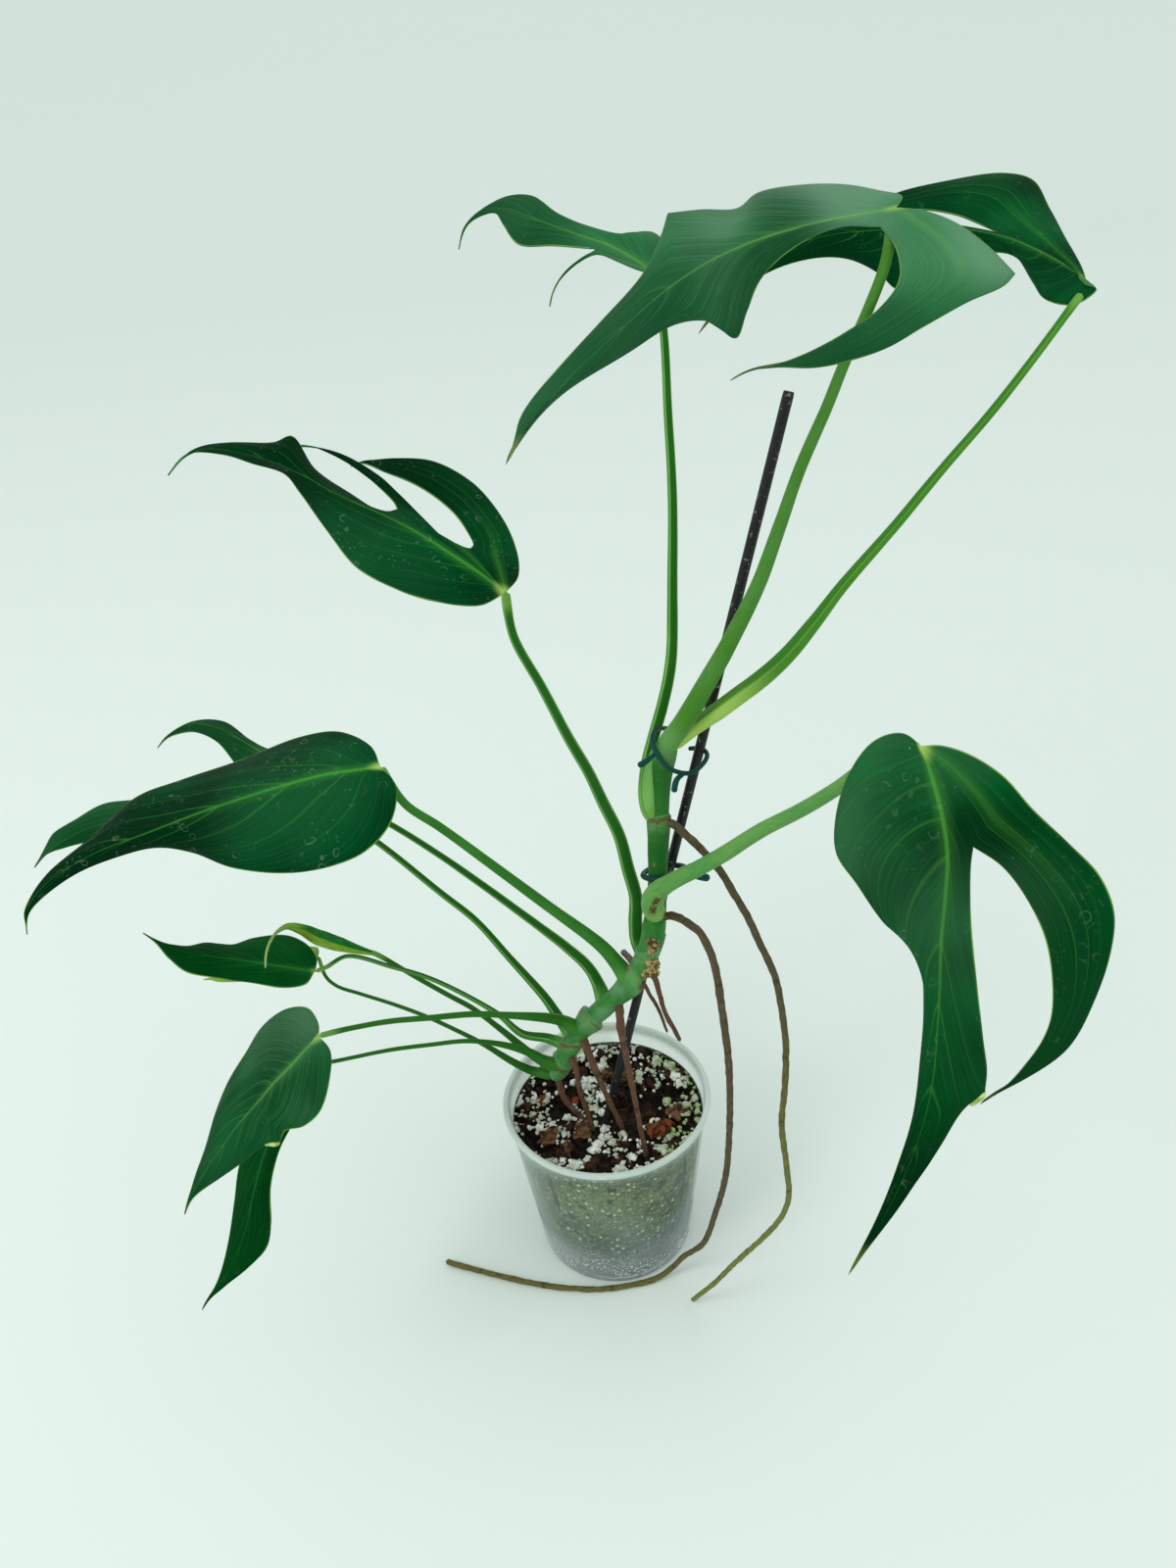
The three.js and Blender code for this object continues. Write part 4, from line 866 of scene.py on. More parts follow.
# Aerial root: wrinkled bark, brown near the stem and olive on the younger end, dark at the joints
def rootMaterial(name, look):
    material, add, finish = startMaterial(name)
    place = add("TexCoord", {}, out=3)
    _, along, wrinkles = addStreaks(add, 16, 2.2, 4, 0.65)
    age = add("MapRange", smooth, add("SeparateXYZ", {}, add("UVMap", secondMap)), look["from"], look["to"])
    crease = paint(look["crease"])
    colour = add("MixRGB", {}, age, paint(look["bark"]), paint(look["young"]))
    colour = add("MixRGB", {}, add("MapRange", smooth, wrinkles, 0.4, 0.6, 0.6, 0), colour, crease)
    ridge = add("MapRange", smooth, wrinkles, 0.56, 0.72, 0, 0.5)
    colour = add("MixRGB", {}, ridge, colour, paint(look["ridge"]))

    # joints about 40 mm apart, unevenly
    wander = add("Math", times, add("TexNoise", {}, place, None, 12, 1), 3)
    joint = add("Math", fold, add("Math", plus, along, wander), 1.9)
    colour = add("MixRGB", {}, add("MapRange", smooth, joint, 0.03, 0.1, 0.6, 0), colour, crease)
    height = add("Math", plus, wrinkles, add("Math", times, add("TexNoise", {}, place, None, 400, 2), 0.4))
    finish(Base_Color=colour, Roughness=0.72, Specular_IOR_Level=0.25,
           Normal=add("Bump", {}, Height=height, Distance=0.0009, Strength=0.9))
    return material


rootBark = rootMaterial("root_bark", {
    "bark": "#65573f", "crease": "#2c261b", "ridge": "#8f8168", "young": "#7d7840", "from": 0.45, "to": 0.72})
rootGreen = rootMaterial("root_bark_young", {
    "bark": "#5c5238", "crease": "#332f20", "ridge": "#8a845f", "young": "#8f9a4c", "from": 0.2, "to": 0.8})
soilBark = rootMaterial("root_bark_brown", {
    "bark": "#6f503a", "crease": "#2e1e14", "ridge": "#a98863", "young": "#6a4c36", "from": 0.5, "to": 1})
stubBark = rootMaterial("root_bark_cut", {
    "bark": "#7f6a60", "crease": "#57443a", "ridge": "#a8908c", "young": "#a58f92", "from": 0.3, "to": 1})


# How far the flare reaches from the stem and the knee from the blade, in millimetres, how wide
# the channel is, as an angle, and where it starts and ends to fade before the blade
flareReach = 10
kneeReach = 6
channelWidth = 0.55
channelFade = (8, 28)


# A petiole, root or rolled leaf. It may flare at the stem, grow slimmer over its first 40 percent
# and have a knee before the blade, a channel along its upper side, lumps or a flat section.
def addStalk(stalk, material, sides=20):
    bm = bmesh.new()
    points, radii = stalk["points"], stalk["radii"]
    _, length = evenLine(points, 2)
    rows = max(16, int(length / 1.5))
    seed = len(stalk["node"]) + points[0][2]
    keys = ("groove", "flare", "knee", "lumpy", "slim")
    groove, flare, knee, lumpy, slim = [stalk.get(key, 0) for key in keys]
    flat = stalk.get("flat", 1)
    gone, full = channelFade

    def radiusAt(angle, t, along):
        east, north = math.cos(angle), math.sin(angle)
        radius = between(radii, t) * (1 + 0.04 * waver(east, north, along * 0.06 + seed))
        radius *= 1 + lumpy * waver(east * 1.5, north * 1.5, along * 0.25 + seed)
        radius *= 1 + flare * math.exp(-((along / flareReach) ** 2))
        radius *= (1 - slim * ease(t / 0.4)) * flat / math.hypot(flat * east, north)
        radius *= 1 + knee * math.exp(-(((length - along - kneeReach) / kneeReach) ** 2))
        away = min(angle, 2 * math.pi - angle)
        fade = min(1, max(0, (length - along - gone) / (full - gone)))
        return radius * (1 - groove * fade * math.exp(-((away / channelWidth) ** 2)))

    tube(bm, points, sides, rows, radiusAt, up=stalk.get("up", (0, 0, 1)))
    flipOutward(bm)
    nodes = [stalk["node"]] if stalk["node"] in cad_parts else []
    addPiece(stalk["node"] + "_skin", bm, [material], nodes)


# "short" is how many millimetres the last point is drawn back from the blade
petioles = [
    {"node": "petiole_top_front", "skin": petiolePale, "short": 1.8, "flare": 0,
     "radii": [5.0, 4.8, 4.1, 3.6, 3.1, 2.7, 2.5, 2.3, 2.2, 2.0],
     "points": [(42.5, 0.6, 329), (44.5, 0.6, 336), (51, -1, 346), (63, 0, 366), (74, 0, 386),
                (87, 2, 411), (96, -1, 439), (104, -4, 465), (113, -8, 489), (119, -11, 507),
                (127, -12, 526), (133, -10, 541), (137, -6, 560)]},
    {"node": "petiole_top_right", "skin": petioleLime, "short": 4.2, "flare": 0,
     "radii": [3.2, 4.6, 4.5, 3.9, 3.1, 2.7, 2.5, 2.3, 2.2, 2.1, 2.0, 1.9],
     "points": [(46, 1.5, 333), (57, 4, 341), (68, 3.4, 349), (78, 5.4, 355), (89, 10, 360),
                (102, 17, 367), (118, 30, 377), (134.5, 42, 390.5), (163, 60, 411.5), (190.5, 75, 435),
                (214, 87, 454.5), (236, 98, 475.5), (265, 112, 506)]},
    {"node": "petiole_top_left", "skin": petioleTall, "up": (0.15, -0.84, 0.5),
     "radii": [2.6, 2.9, 2.9, 2.6, 2.4, 2.2, 2.1, 2.0],
     "points": [(36.5, -3.5, 295), (32.8, -1.5, 299), (31.2, 1.5, 307), (33.5, 7, 320), (38, 13.5, 332),
                (44, 24, 344), (50, 36, 361), (54, 57, 391), (58, 82, 432), (59, 101, 466),
                (60, 116, 495), (59, 129, 524)]},
    {"node": "petiole_mid_left", "skin": petioleDark, "short": -0.8, "up": (0.22, -0.84, 0.5),
     "radii": [3.8, 3.4, 2.9, 2.4, 2.1],
     "points": [(29, -12, 213), (23.5, -4, 221), (23, -1, 231), (24, 1, 246), (21, 4, 263),
                (18, 8, 280), (11, 13, 298), (5, 17, 314), (-3, 21, 331), (-14, 28, 357),
                (-25, 33, 382), (-27, 37.5, 398), (-27, 39, 403)]},
    {"node": "petiole_left_broad", "skin": petioleSkin, "slim": 0.15,
     "radii": [4, 3.2, 2.6, 2.2],
     "points": [(18, -13, 202), (12, -11.5, 213), (6, -12, 224), (-2, -13, 235), (-20, -16, 257),
                (-44, -20, 287), (-66, -26, 316), (-79, -30, 332), (-84.5, -31, 345),
                (-87, -32, 354)]},
    {"node": "petiole_left_upper", "skin": petioleDark, "slim": 0.2,
     "radii": [3.6, 2.8, 2.3, 2],
     "points": [(4, -8, 181), (1, 0, 190), (-4, 4, 200), (-15, 9, 211), (-28, 14, 222),
                (-53, 26, 240), (-78, 39, 256), (-103, 50, 271), (-123, 58, 281)]},
    {"node": "petiole_left_lower", "skin": petioleDark, "slim": 0.2,
     "radii": [3.2, 2.5, 2.1, 1.9],
     "points": [(-15, 1, 151), (-22, 8, 160), (-29, 11, 174), (-37, 12, 188), (-46, 12, 204),
                (-61, 12, 231), (-77, 11, 252), (-106, 9, 290), (-121, 8, 304)]},
    {"node": "petiole_low_dark", "skin": petioleDark, "slim": 0.42,
     "radii": [3, 2.5, 2.1, 1.8],
     "points": [(-18, 2, 145), (-30, 9, 146), (-44, 8, 152), (-56, 8, 168), (-76, 8, 187),
                (-92, 7, 200), (-108, 3, 212), (-128, -5, 228), (-137, -15, 230), (-142, -19, 231)]},
    {"node": "petiole_young", "skin": petioleLow, "slim": 0.35,
     "radii": [3, 2.6, 2.2, 2],
     "points": [(-26, 5, 126), (-39, 13, 129), (-55, 18, 145), (-71, 20, 163), (-83, 18, 176),
                (-97, 17, 190), (-118, 14, 213), (-121, 13.2, 215.2)]},
    {"node": "petiole_low_front", "skin": petioleLow, "slim": 0.4,
     "radii": [3.6, 3, 2.6, 2.1],
     "points": [(-11, -2, 160), (-20, -5, 171), (-29, -10, 179), (-47, -18, 190), (-65, -26, 200),
                (-85, -35, 208), (-103, -44, 216), (-121, -57, 225), (-133, -66, 230)]},
    {"node": "petiole_low_hanging", "skin": petioleLow, "slim": 0.52,
     "radii": [3.2, 2.8, 2.4, 2.1],
     "points": [(-24, 3, 130), (-34, 0, 139), (-42, 0, 146), (-56, -3, 156), (-73, -9, 166),
                (-91, -17, 173), (-110, -28, 182), (-137, -46, 194), (-145, -51, 198)]},
    {"node": "petiole_small", "skin": petioleLow, "slim": 0.4,
     "radii": [2.8, 2.2, 1.8, 1.5],
     "points": [(-29, 8, 119), (-39, 10, 120), (-49, 8, 129), (-68, 8, 148), (-82, 8, 160),
                (-96, 8, 171), (-113, 9, 181), (-129, 9, 190), (-141, 10, 196), (-146, 11, 202),
                (-148, 12, 216)]},
    {"node": "petiole_right", "skin": petioleRight, "short": 1.8, "flare": 0,
     "radii": [5.2, 5.8, 4.4, 3.9, 3.7, 3.5, 3.3, 3.2, 3.0, 2.9, 2.8, 2.6],
     "points": [(34, -10, 242), (31.5, -17, 252), (32, -21, 261), (35, -25, 269), (45, -30, 279),
                (54, -36, 288), (65, -42, 299), (80, -56, 320), (93, -71, 338), (104, -84, 355),
                (113, -98, 373), (125, -124, 396)]},
]

# The channel of those that are turned away from the viewer lies behind
hiddenChannel = (0.2, 1, 0.2)
for petiole in petioles:
    if petiole["skin"] not in (petioleDark, petioleTall, petioleLime):
        petiole["up"] = hiddenChannel
    last, before = Vector(petiole["points"][-1]), Vector(petiole["points"][-2])
    petiole["points"][-1] = tuple(last.lerp(before, petiole.get("short", 0) / (before - last).length))
    addStalk({"groove": 0.2, "flare": 0.35, "knee": 0.1, **petiole}, petiole["skin"])

young = {
    "node": "blade_young", "radii": [1.3, 3.0, 4.5, 4.9, 3.6, 2.3, 1.8, 1.5, 1.1], "flat": 0.42,
    "points": [(-118, 14, 213), (-128, 11, 220), (-143, 5, 234), (-149, 2, 242), (-155, -3, 249),
               (-159, -10, 251), (-161, -18, 251), (-162, -25, 249), (-162, -31, 245)],
}
addStalk(young, youngSkin)

# Stem: internodes that each rise out of the dry-edged collar of the one below.
# A collar is its height in the frame, how far it stands out, its tilt and where it faces.
stem = {
    "radii": [4.4, 4.8, 5.2, 5.4, 5.2, 5.2, 5.4, 5.6, 5.2, 5.4, 5.6, 5.6, 6.0, 6.2, 5.2, 4.8, 4.8, 5.2,
              5.2, 5, 5, 5, 5.2, 4.6],
    "points": [(-29, 6, 118), (-20, 3, 140), (-10, -2, 162), (3, -8, 181), (17, -13, 200),
               (28, -13, 220), (33, -11, 242), (35.5, -7, 265), (37, -4, 284), (39, -1, 310),
               (44, 1, 338)],
    "collars": [(133, 1.6, 3, 0.5), (150, 1.2, 5, 2.4), (172, 2.6, 4, 1.2), (205, 2.3, 6, 1.0),
                (226, 0.8, 6, 3.4), (296, 1.1, 3, 2.0), (334, 0.7, 1, 0.0)],
}


def addStem():
    bm = bmesh.new()
    rows = 300
    line, length = evenLine(stem["points"], rows)
    heights = [spot.z for spot in line]

    # How far along its collar a place is: 0 well below the dry edge, 1 at it
    def collarAt(angle, t):
        found = [0, 0]
        for height, size, tilt, facing in stem["collars"]:
            gap = between(heights, t) - height - tilt * math.cos(angle - facing)
            rise = math.exp(-((gap / 9) ** 2)) if gap < 0 else math.exp(-((gap / 0.7) ** 2))
            found = max(found, [rise * size, rise])
        return found

    def radiusAt(angle, t, along):
        coarse = waver(math.cos(angle), math.sin(angle), along * 0.05)
        fine = waver(math.cos(angle) * 4, math.sin(angle) * 4, along * 0.08 + 9)
        return between(stem["radii"], t) * (1 + 0.05 * coarse + 0.03 * fine) + collarAt(angle, t)[0]

    sides = 48
    tube(bm, stem["points"], sides, rows, radiusAt)
    first, third = bm.loops.layers.uv["first"], bm.loops.layers.uv["third"]
    for face in bm.faces:
        for loop in face.loops:
            around, along = loop[first].uv
            loop[third].uv = (collarAt(around * 2 * math.pi, along * 10 / length)[1], 0)
    flipOutward(bm)
    addPiece("stem_skin", bm, [stemSkin], ["stem"])


addStem()

# The pale sheath of the top left petiole, closed against the stem
sheathTopLeft = {
    "node": "sheath_top_left", "radii": [1.6, 3.0, 3.6, 3.6, 3.0, 1.6], "up": (-1, 0, 0), "groove": -0.05,
    "points": [(36.8, -5, 296), (34.6, -4.5, 299), (33.8, -3, 306), (34.2, -1, 313), (35.5, 2, 321),
               (38.5, 6, 331)],
}
closedSheath = plainMaterial("petiole_sheath_closed", "#4c8f38", "#6fa850", 0.45, 70, 0.0004)
addStalk(sheathTopLeft, closedSheath)

roots = [
    {"node": "soil_root_right", "radii": [2.3, 2.0, 1.6],
     "points": [(11, -13, 189), (11, -20, 176), (14, -26, 145), (18, -34, 108), (20.5, -40, 84)]},
    {"node": "soil_root_middle", "radii": [2.3, 1.9, 1.5],
     "points": [(-11, -2, 158), (-7.5, -10, 150), (-2, -14, 130), (7, -18, 100), (10, -19, 86)]},
    {"node": "soil_root_left", "radii": [2.0, 1.7, 1.4],
     "points": [(-19, 2, 142), (-16, -6, 138), (-14.5, -10, 122), (-9.5, -14, 98), (-8, -15, 87)]},
    {"node": "soil_root_end", "radii": [2.1, 1.8, 1.5],
     "points": [(-27, 3, 121), (-25, -2, 111), (-21, -4, 104), (-14, -6, 95), (-9, -8, 86)]},
    {"node": "long_root_right", "radii": [2.1, 1.8, 1.6, 1.5, 1.4, 1.4, 1.3],
     "points": [(38, -3, 292), (43, -6.5, 295), (49, -11.5, 291.5), (56, -17.5, 286), (64, -25, 278),
                (70, -36, 270), (75, -46, 263), (79, -56, 255), (84, -66, 244), (86, -74, 231),
                (87, -81, 213), (86, -86, 193), (84, -90, 171), (86, -94, 145), (87, -96, 125),
                (84, -95, 110), (76, -87, 84), (63, -76, 51), (50, -68, 21), (39, -63, 2.2)]},
    {"node": "long_root_left", "radii": [2.1, 1.7, 1.6, 1.6],
     "points": [(33, -11, 241), (41, -16, 245), (47, -24, 247), (53, -32, 246), (57, -39, 240),
                (59, -45, 232), (61, -51, 212), (63, -58, 184), (63, -61, 159), (62, -63, 133),
                (60, -63, 106), (55, -57, 70), (47.6, -48.5, 32), (37.4, -44.1, 17), (29, -44.5, 7),
                (20, -47, 2.8), (-9, -50.5, 2), (-32, -48, 2), (-55, -42, 2), (-80, -33, 2),
                (-106, -22.5, 2)]},
    {"node": "short_root", "radii": [2, 1.6, 1.3],
     "points": [(25, -13, 214), (30, -20, 210), (32, -24, 203), (34, -29, 194), (38, -34, 186),
                (41, -37, 179)]},
    {"node": "short_root_thin", "radii": [1.4, 1.2, 0.9],
     "points": [(20, -13, 205), (25, -20.5, 205), (27, -23, 201), (31, -26, 193), (35, -31, 180)]},
    {"node": "root_stub", "radii": [1.9, 1.7],
     "points": [(23, -13, 209), (18, -7.5, 213.5), (14.6, -4, 216)]},
]
for root in roots:
    brown = root["node"].startswith(("soil", "short"))
    root.update({"lumpy": 0.34, "slim": 0.2} if brown else {"lumpy": 0.24})
    bark = {"long_root_right": rootGreen, "root_stub": stubBark}.get(root["node"], rootBark)
    addStalk(root, soilBark if brown else bark, 16)


# Plastic-coated stake: near black, satin, with pale scuffs along it
def stakeMaterial():
    material, add, finish = startMaterial("stake_coat")
    _, _, scuffs = addStreaks(add, 30, 1.2, 4, 0.7)
    dots = add("TexNoise", {}, add("TexCoord", {}, out=3), None, 420, 2)
    scuffed = add("MapRange", smooth, scuffs, 0.56, 0.72, 0, 0.35)
    colour = add("MixRGB", {}, scuffed, paint("#0d0f10"), paint("#5b605e"))
    colour = add("MixRGB", {}, add("MapRange", smooth, dots, 0.64, 0.72, 0, 0.6), colour, paint("#8c918e"))
    finish(Base_Color=colour, Roughness=add("MapRange", smooth, scuffs, 0.4, 0.7, 0.35, 0.6),
           Specular_IOR_Level=0.3, Normal=add("Bump", {}, Height=scuffs, Distance=0.0002, Strength=0.6))
    return material


# The stake's last 2 mm taper to its top
stake = {"line": [(-8.6, -13.2, 70), (104, 24.5, 489)], "radius": 2.5, "top": 2.3}
bm = bmesh.new()
tube(bm, stake["line"], 32, 220,
     lambda angle, t, along: stake["top"] if t == 1 else stake["radius"], roundEnds=False)
bmesh.ops.holes_fill(bm, edges=[edge for edge in bm.edges if edge.is_boundary], sides=0)
flipOutward(bm)
addPiece("stake_rod", bm, [stakeMaterial()], ["stake"])

# Moulded clip plastic: dark teal green and satin, hardly shining
clipPlastic = plainMaterial("clip_plastic", "#023430", "#0a4a44", 0.45, 40, shine=0.12)


# A clip is one bent wire with thicker ribbed grips. The ribs are 1.2 mm apart.
def addClip(node, wire, thickness, grips, closed):
    bm = bmesh.new()
    tube(bm, wire, 16, 110, lambda angle, t, along: thickness, closed=closed)
    for grip in grips:
        tube(bm, grip, 16, 24,
             lambda angle, t, along: thickness * (0.95 + 0.35 * ease(t * 1.5) + 0.07 * math.sin(along * 5.2)))
    flipOutward(bm)
    addPiece(node + "_wire", bm, [clipPlastic], [node])


addClip("clip_upper",
        [(45.5, 18.8, 333.8), (39.1, 9.8, 338.2), (36.5, -0.1, 337.4), (38, -4.4, 333.2), (43.5, -8.2, 326.8),
         (52.8, -7.7, 322.9), (60.2, -0.6, 323), (63.4, 6.9, 323.8), (61.6, 13.7, 323.4), (58.5, 16.6, 322.4),
         (55.3, 18.3, 321.4)], 1.15,
        [[(37.3, -4, 333), (32.6, -7.3, 331.2), (28.6, -9.2, 330)],
         [(50.6, -8, 323.4), (46.8, -10.6, 321.9), (45.3, -12.4, 318.8), (44.9, -13.9, 316.5)]], False)
addClip("clip_lower",
        [(28.4, -6, 264), (34, -14, 267), (44, -10, 266), (49.5, 0, 263), (44.2, 7.9, 259),
         (33, 5, 260)], 1.5,
        [[(49.3, -1.5, 263.4), (55, -4.5, 260.6), (62, -6, 259)]], True)

# Tan crumbs of a dried sheath, matt and rough, in two patches on the front of the stem.
# A patch is its top and foot, its middle and half its width across the stem, and its count.
stemMiddle = (29.5, -12.4)
stemReach = 6
dryCrust = plainMaterial("dried_sheath", "#54421f", "#c4b07a", 0.85, 420, 0.0012)
bm = bmesh.new()
for high, low, east, wide, count in ((233, 224.5, 30.4, 2.4, 30), (220, 209, 28.4, 4.2, 84)):
    for _ in range(count):
        x, z = east + random.uniform(-wide, wide), random.uniform(low, high)
        front = stemMiddle[1] - math.sqrt(max(stemReach ** 2 - (x - stemMiddle[0]) ** 2, 20))
        addLump(bm, (x, front - random.uniform(-0.4, 1.4), z), random.uniform(0.6, 1.6), 2, 1.3)
addPiece("dried_sheath_crumbs", bm, [dryCrust], [])

print("stage: pot and mix")

# The wall leans out from the foot to the lip, which stands out 2.2 mm from it
pot = {"rim": 60, "foot": 45.4, "height": 108.4, "lip": 2.2, "wall": 1.2}
mixInset = pot["wall"] + 0.15


def wallAt(z):
    return pot["foot"] + (pot["rim"] - pot["lip"] - pot["foot"]) * z / pot["height"]


def lathe(bm, profile, steps):
    verts = [bm.verts.new(Vector((radius, 0, z)) * mm) for radius, z in profile]
    edges = [bm.edges.new(pair) for pair in zip(verts, verts[1:])]
    bmesh.ops.spin(bm, geom=verts + edges, axis=(0, 0, 1), cent=(0, 0, 0), angle=2 * math.pi,
                   steps=steps, use_merge=True)
    bmesh.ops.remove_doubles(bm, verts=bm.verts, dist=0.01 * mm)
    soften(bm)
    flipOutward(bm)


# Thin moulded polypropylene: frosted and see-through on the wall, milkier in the thick lip,
# with beads of water inside the lower wall
def potMaterial():
    material, add, finish = startMaterial("frosted_polypropylene")
    place = add("TexCoord", {}, out=3)
    height = add("SeparateXYZ", {}, place, out=2)
    sideways = add("SeparateXYZ", {}, place)
    milk = add("MapRange", smooth, height, 0.1035, 0.1055, 0.07, 0.54)
    above = add("MapRange", smooth, height, 0.1, 0.1045, 0, 0.3)
    haze = add("MapRange", smooth, add("TexNoise", {}, place, None, 30, 3), 0.4, 0.7, 0, 0.12)
    left = add("MapRange", smooth, sideways, -0.052, -0.02, 0.22, 0)
    haze = add("Math", plus, haze, left)

    # the lowest 35 mm is fogged, most on the left
    fog = add("Math", times, add("MapRange", smooth, height, 0.006, 0.036, 1, 0),
              add("MapRange", smooth, sideways, -0.04, 0.02, 0.46, 0.12))
    haze = add("Math", plus, haze, fog)

    # the wall looks milkier where it is seen along its thickness
    edgeOn = add("MapRange", smooth, add("LayerWeight", {}, 0.4, out=1), 0.5, 1, 0, 0.36)
    haze = add("Math", plus, haze, edgeOn)

    # beads of water a little over 1 mm across, in drifts over the lowest 40 mm
    wavy = add("Math", plus, height, add("Math", times, add("TexNoise", {}, place, None, 24, 2), 0.04))
    low = add("MapRange", smooth, wavy, 0.028, 0.06, 1, 0)
    drift = add("MapRange", smooth, add("TexNoise", {}, place, None, 55, 2), 0.4, 0.54)
    bead = add("MapRange", smooth, add("TexVoronoi", {}, place, None, 480), 0.14, 0.42, 0.85, 0)
    bead = add("Math", times, add("Math", times, bead, low), drift)
    tone = add("MixRGB", {}, add("MapRange", smooth, height, 0.09, 0.104), paint("#a3b0a8"), paint("#cbd8d0"))
    tone = add("MixRGB", {}, add("MapRange", smooth, height, 0.01, 0.045, 0.5, 0), tone, paint("#b2b8c0"))
    cover = add("Math", plus, add("Math", plus, milk, haze), add("Math", plus, above, bead))
    uneven = add("TexNoise", {}, place, None, 90, 2)
    finish(Base_Color=add("MixRGB", {}, bead, tone, paint("#eef3f0")), Roughness=0.3,
           Alpha=cover, IOR=1.49, Specular_IOR_Level=0.35,
           Normal=add("Bump", {}, Height=uneven, Distance=0.0003, Strength=0.3))
    return material


bm = bmesh.new()
lathe(bm, [(0, 0), (42.9, 0), (44.4, 0.4), (wallAt(1.4) - 0.1, 1.2), (wallAt(2.4), 2.4), (wallAt(30), 30),
           (wallAt(60), 60), (wallAt(90), 90), (wallAt(104.4), 104.4), (58.2, 104.8), (59.2, 105.1),
           (59.8, 105.8), (60, 106.8), (59.8, 107.7), (59.2, 108.3), (58.3, 108.4), (57.3, 108.3),
           (56.8, 107.8), (wallAt(104) - pot["wall"], 104), (wallAt(60) - pot["wall"], 60),
           (wallAt(3) - pot["wall"], 3), (42.4, 1.8), (0, 1.6)], 192)
addPiece("pot_shell", bm, [potMaterial()], ["pot"])


# Heights, how much the front is heaped up, and how far out the loose lumps may lie
mix = {"top": 95.2, "topHeap": 3.6, "side": 96, "sideHeap": 4.4, "scatter": 54.5, "limit": 55.4}


# The mix lies higher against the front of the wall: how much, from 0 to 1
def frontHeap(x, y):
    return ease((-y - 18) / 30) * ease((math.hypot(x, y) - 36) / 16)


# The mix seen through the wall: grey-green with algae, full of pale 1 to 2 mm specks,
# a wet blue-grey patch low on the right and a few dark root lines
def mixSideMaterial():
    material, add, finish = startMaterial("potting_mix_side")
    place = add("TexCoord", {}, out=3)
    right, back, height = [add("SeparateXYZ", {}, place, out=axis) for axis in range(3)]
    patches = add("TexNoise", {}, place, None, 26, 4, 0.6)
    colour = add("MixRGB", {}, add("MapRange", smooth, patches, 0.36, 0.62), paint("#46563a"),
                 paint("#6c7e5c"))
    low = add("MapRange", smooth, height, 0.02, 0.075, 0.75, 0)
    colour = add("MixRGB", {}, low, colour, paint("#4f6660"))
    wet = add("Math", times, add("MapRange", smooth, height, 0.02, 0.06, 1, 0),
              add("MapRange", smooth, add("TexNoise", {}, place, None, 20, 2), 0.4, 0.6, 0.2, 1))
    wet = add("Math", times, wet, add("MapRange", smooth, right, -0.01, 0.03, 0.1, 0.9))
    colour = add("MixRGB", {}, wet, colour, paint("#465a72"))

    # grains of 1.4 mm, each with its own tone, and scattered pale ones of up to 3 mm
    push = add("VectorMath", enlarge, add("TexNoise", {}, place, None, 500, out=1), Scale=0.0012)
    shifted = add("VectorMath", {}, place, push)
    tone = add("SeparateXYZ", {}, add("TexVoronoi", {}, shifted, None, 720, out=1))
    colour = add("MixRGB", {}, add("MapRange", smooth, tone, 0, 0.45, 0.5, 0), colour, paint("#2c3422"))
    colour = add("MixRGB", {}, add("MapRange", smooth, tone, 0.66, 0.95, 0, 0.42), colour, paint("#9dab7c"))
    pale = add("TexVoronoi", {}, shifted, None, 330)
    paleTone = add("SeparateXYZ", {}, add("TexVoronoi", {}, shifted, None, 330, out=1))
    frosted = add("Math", times, add("MapRange", smooth, height, 0.008, 0.034, 1, 0),
                  add("MapRange", smooth, right, -0.03, 0.03, 1, 0.4))
    fewer = add("MapRange", {}, frosted, 0, 1, 0.74, 0.42)
    grain = add("Math", times, add("MapRange", smooth, pale, 0.2, 0.45, 0.8, 0),
                add("MapRange", smooth, paleTone, fewer, add("Math", plus, fewer, 0.08)))
    colour = add("MixRGB", {}, add("Math", times, frosted, 0.35), colour, paint("#8f9894"))
    colour = add("MixRGB", {}, grain, colour, paint("#d6dac8"))
    dark = add("MapRange", smooth, add("TexNoise", {}, place, None, 120, 3), 0.56, 0.68, 0, 0.75)
    colour = add("MixRGB", {}, dark, colour, paint("#1a2114"))

    # roots against the wall, about 2 mm wide
    around = add("Math", {"operation": "ARCTAN2"}, back, right)
    wander = add("Math", plus, around, add("Math", times, add("TexNoise", {}, place, None, 18, 2), 0.25))
    line = add("MapRange", smooth, add("Math", fold, wander, 0.42), 0, 0.016, 0.8, 0)
    rooted = add("MapRange", smooth, add("TexNoise", {}, place, None, 14, 1), 0.48, 0.56)
    root = add("Math", times, line, rooted)
    for turned, lowest, highest in ((-0.6, 0.046, 0.1), (-2.16, 0.055, 0.094)):
        off = add("Math", positive, add("Math", minus, wander, turned))
        shown = add("Math", times, add("MapRange", smooth, height, lowest, lowest + 0.01, 0, 0.85),
                    add("MapRange", smooth, height, highest, highest + 0.004, 1, 0))
        shown = add("Math", times, shown, add("MapRange", smooth, off, 0.012, 0.036, 1, 0))
        root = add("Math", most, root, shown)
    colour = add("MixRGB", {}, root, colour, paint("#262c1e"))
    finish(Base_Color=colour, Roughness=0.9, Specular_IOR_Level=0.1)
    return material


bm = bmesh.new()
lathe(bm, [(0, 1.8), (42.6, 1.8), (wallAt(5) - mixInset, 5), (wallAt(40) - mixInset, 40),
           (wallAt(mix["side"]) - mixInset, mix["side"])], 128)
for vert in bm.verts:
    if vert.co.z > (mix["side"] - 1) * mm:
        vert.co.z += mix["sideHeap"] * mm * frontHeap(vert.co.x / mm, vert.co.y / mm)
addPiece("mix_side", bm, [mixSideMaterial()], [])


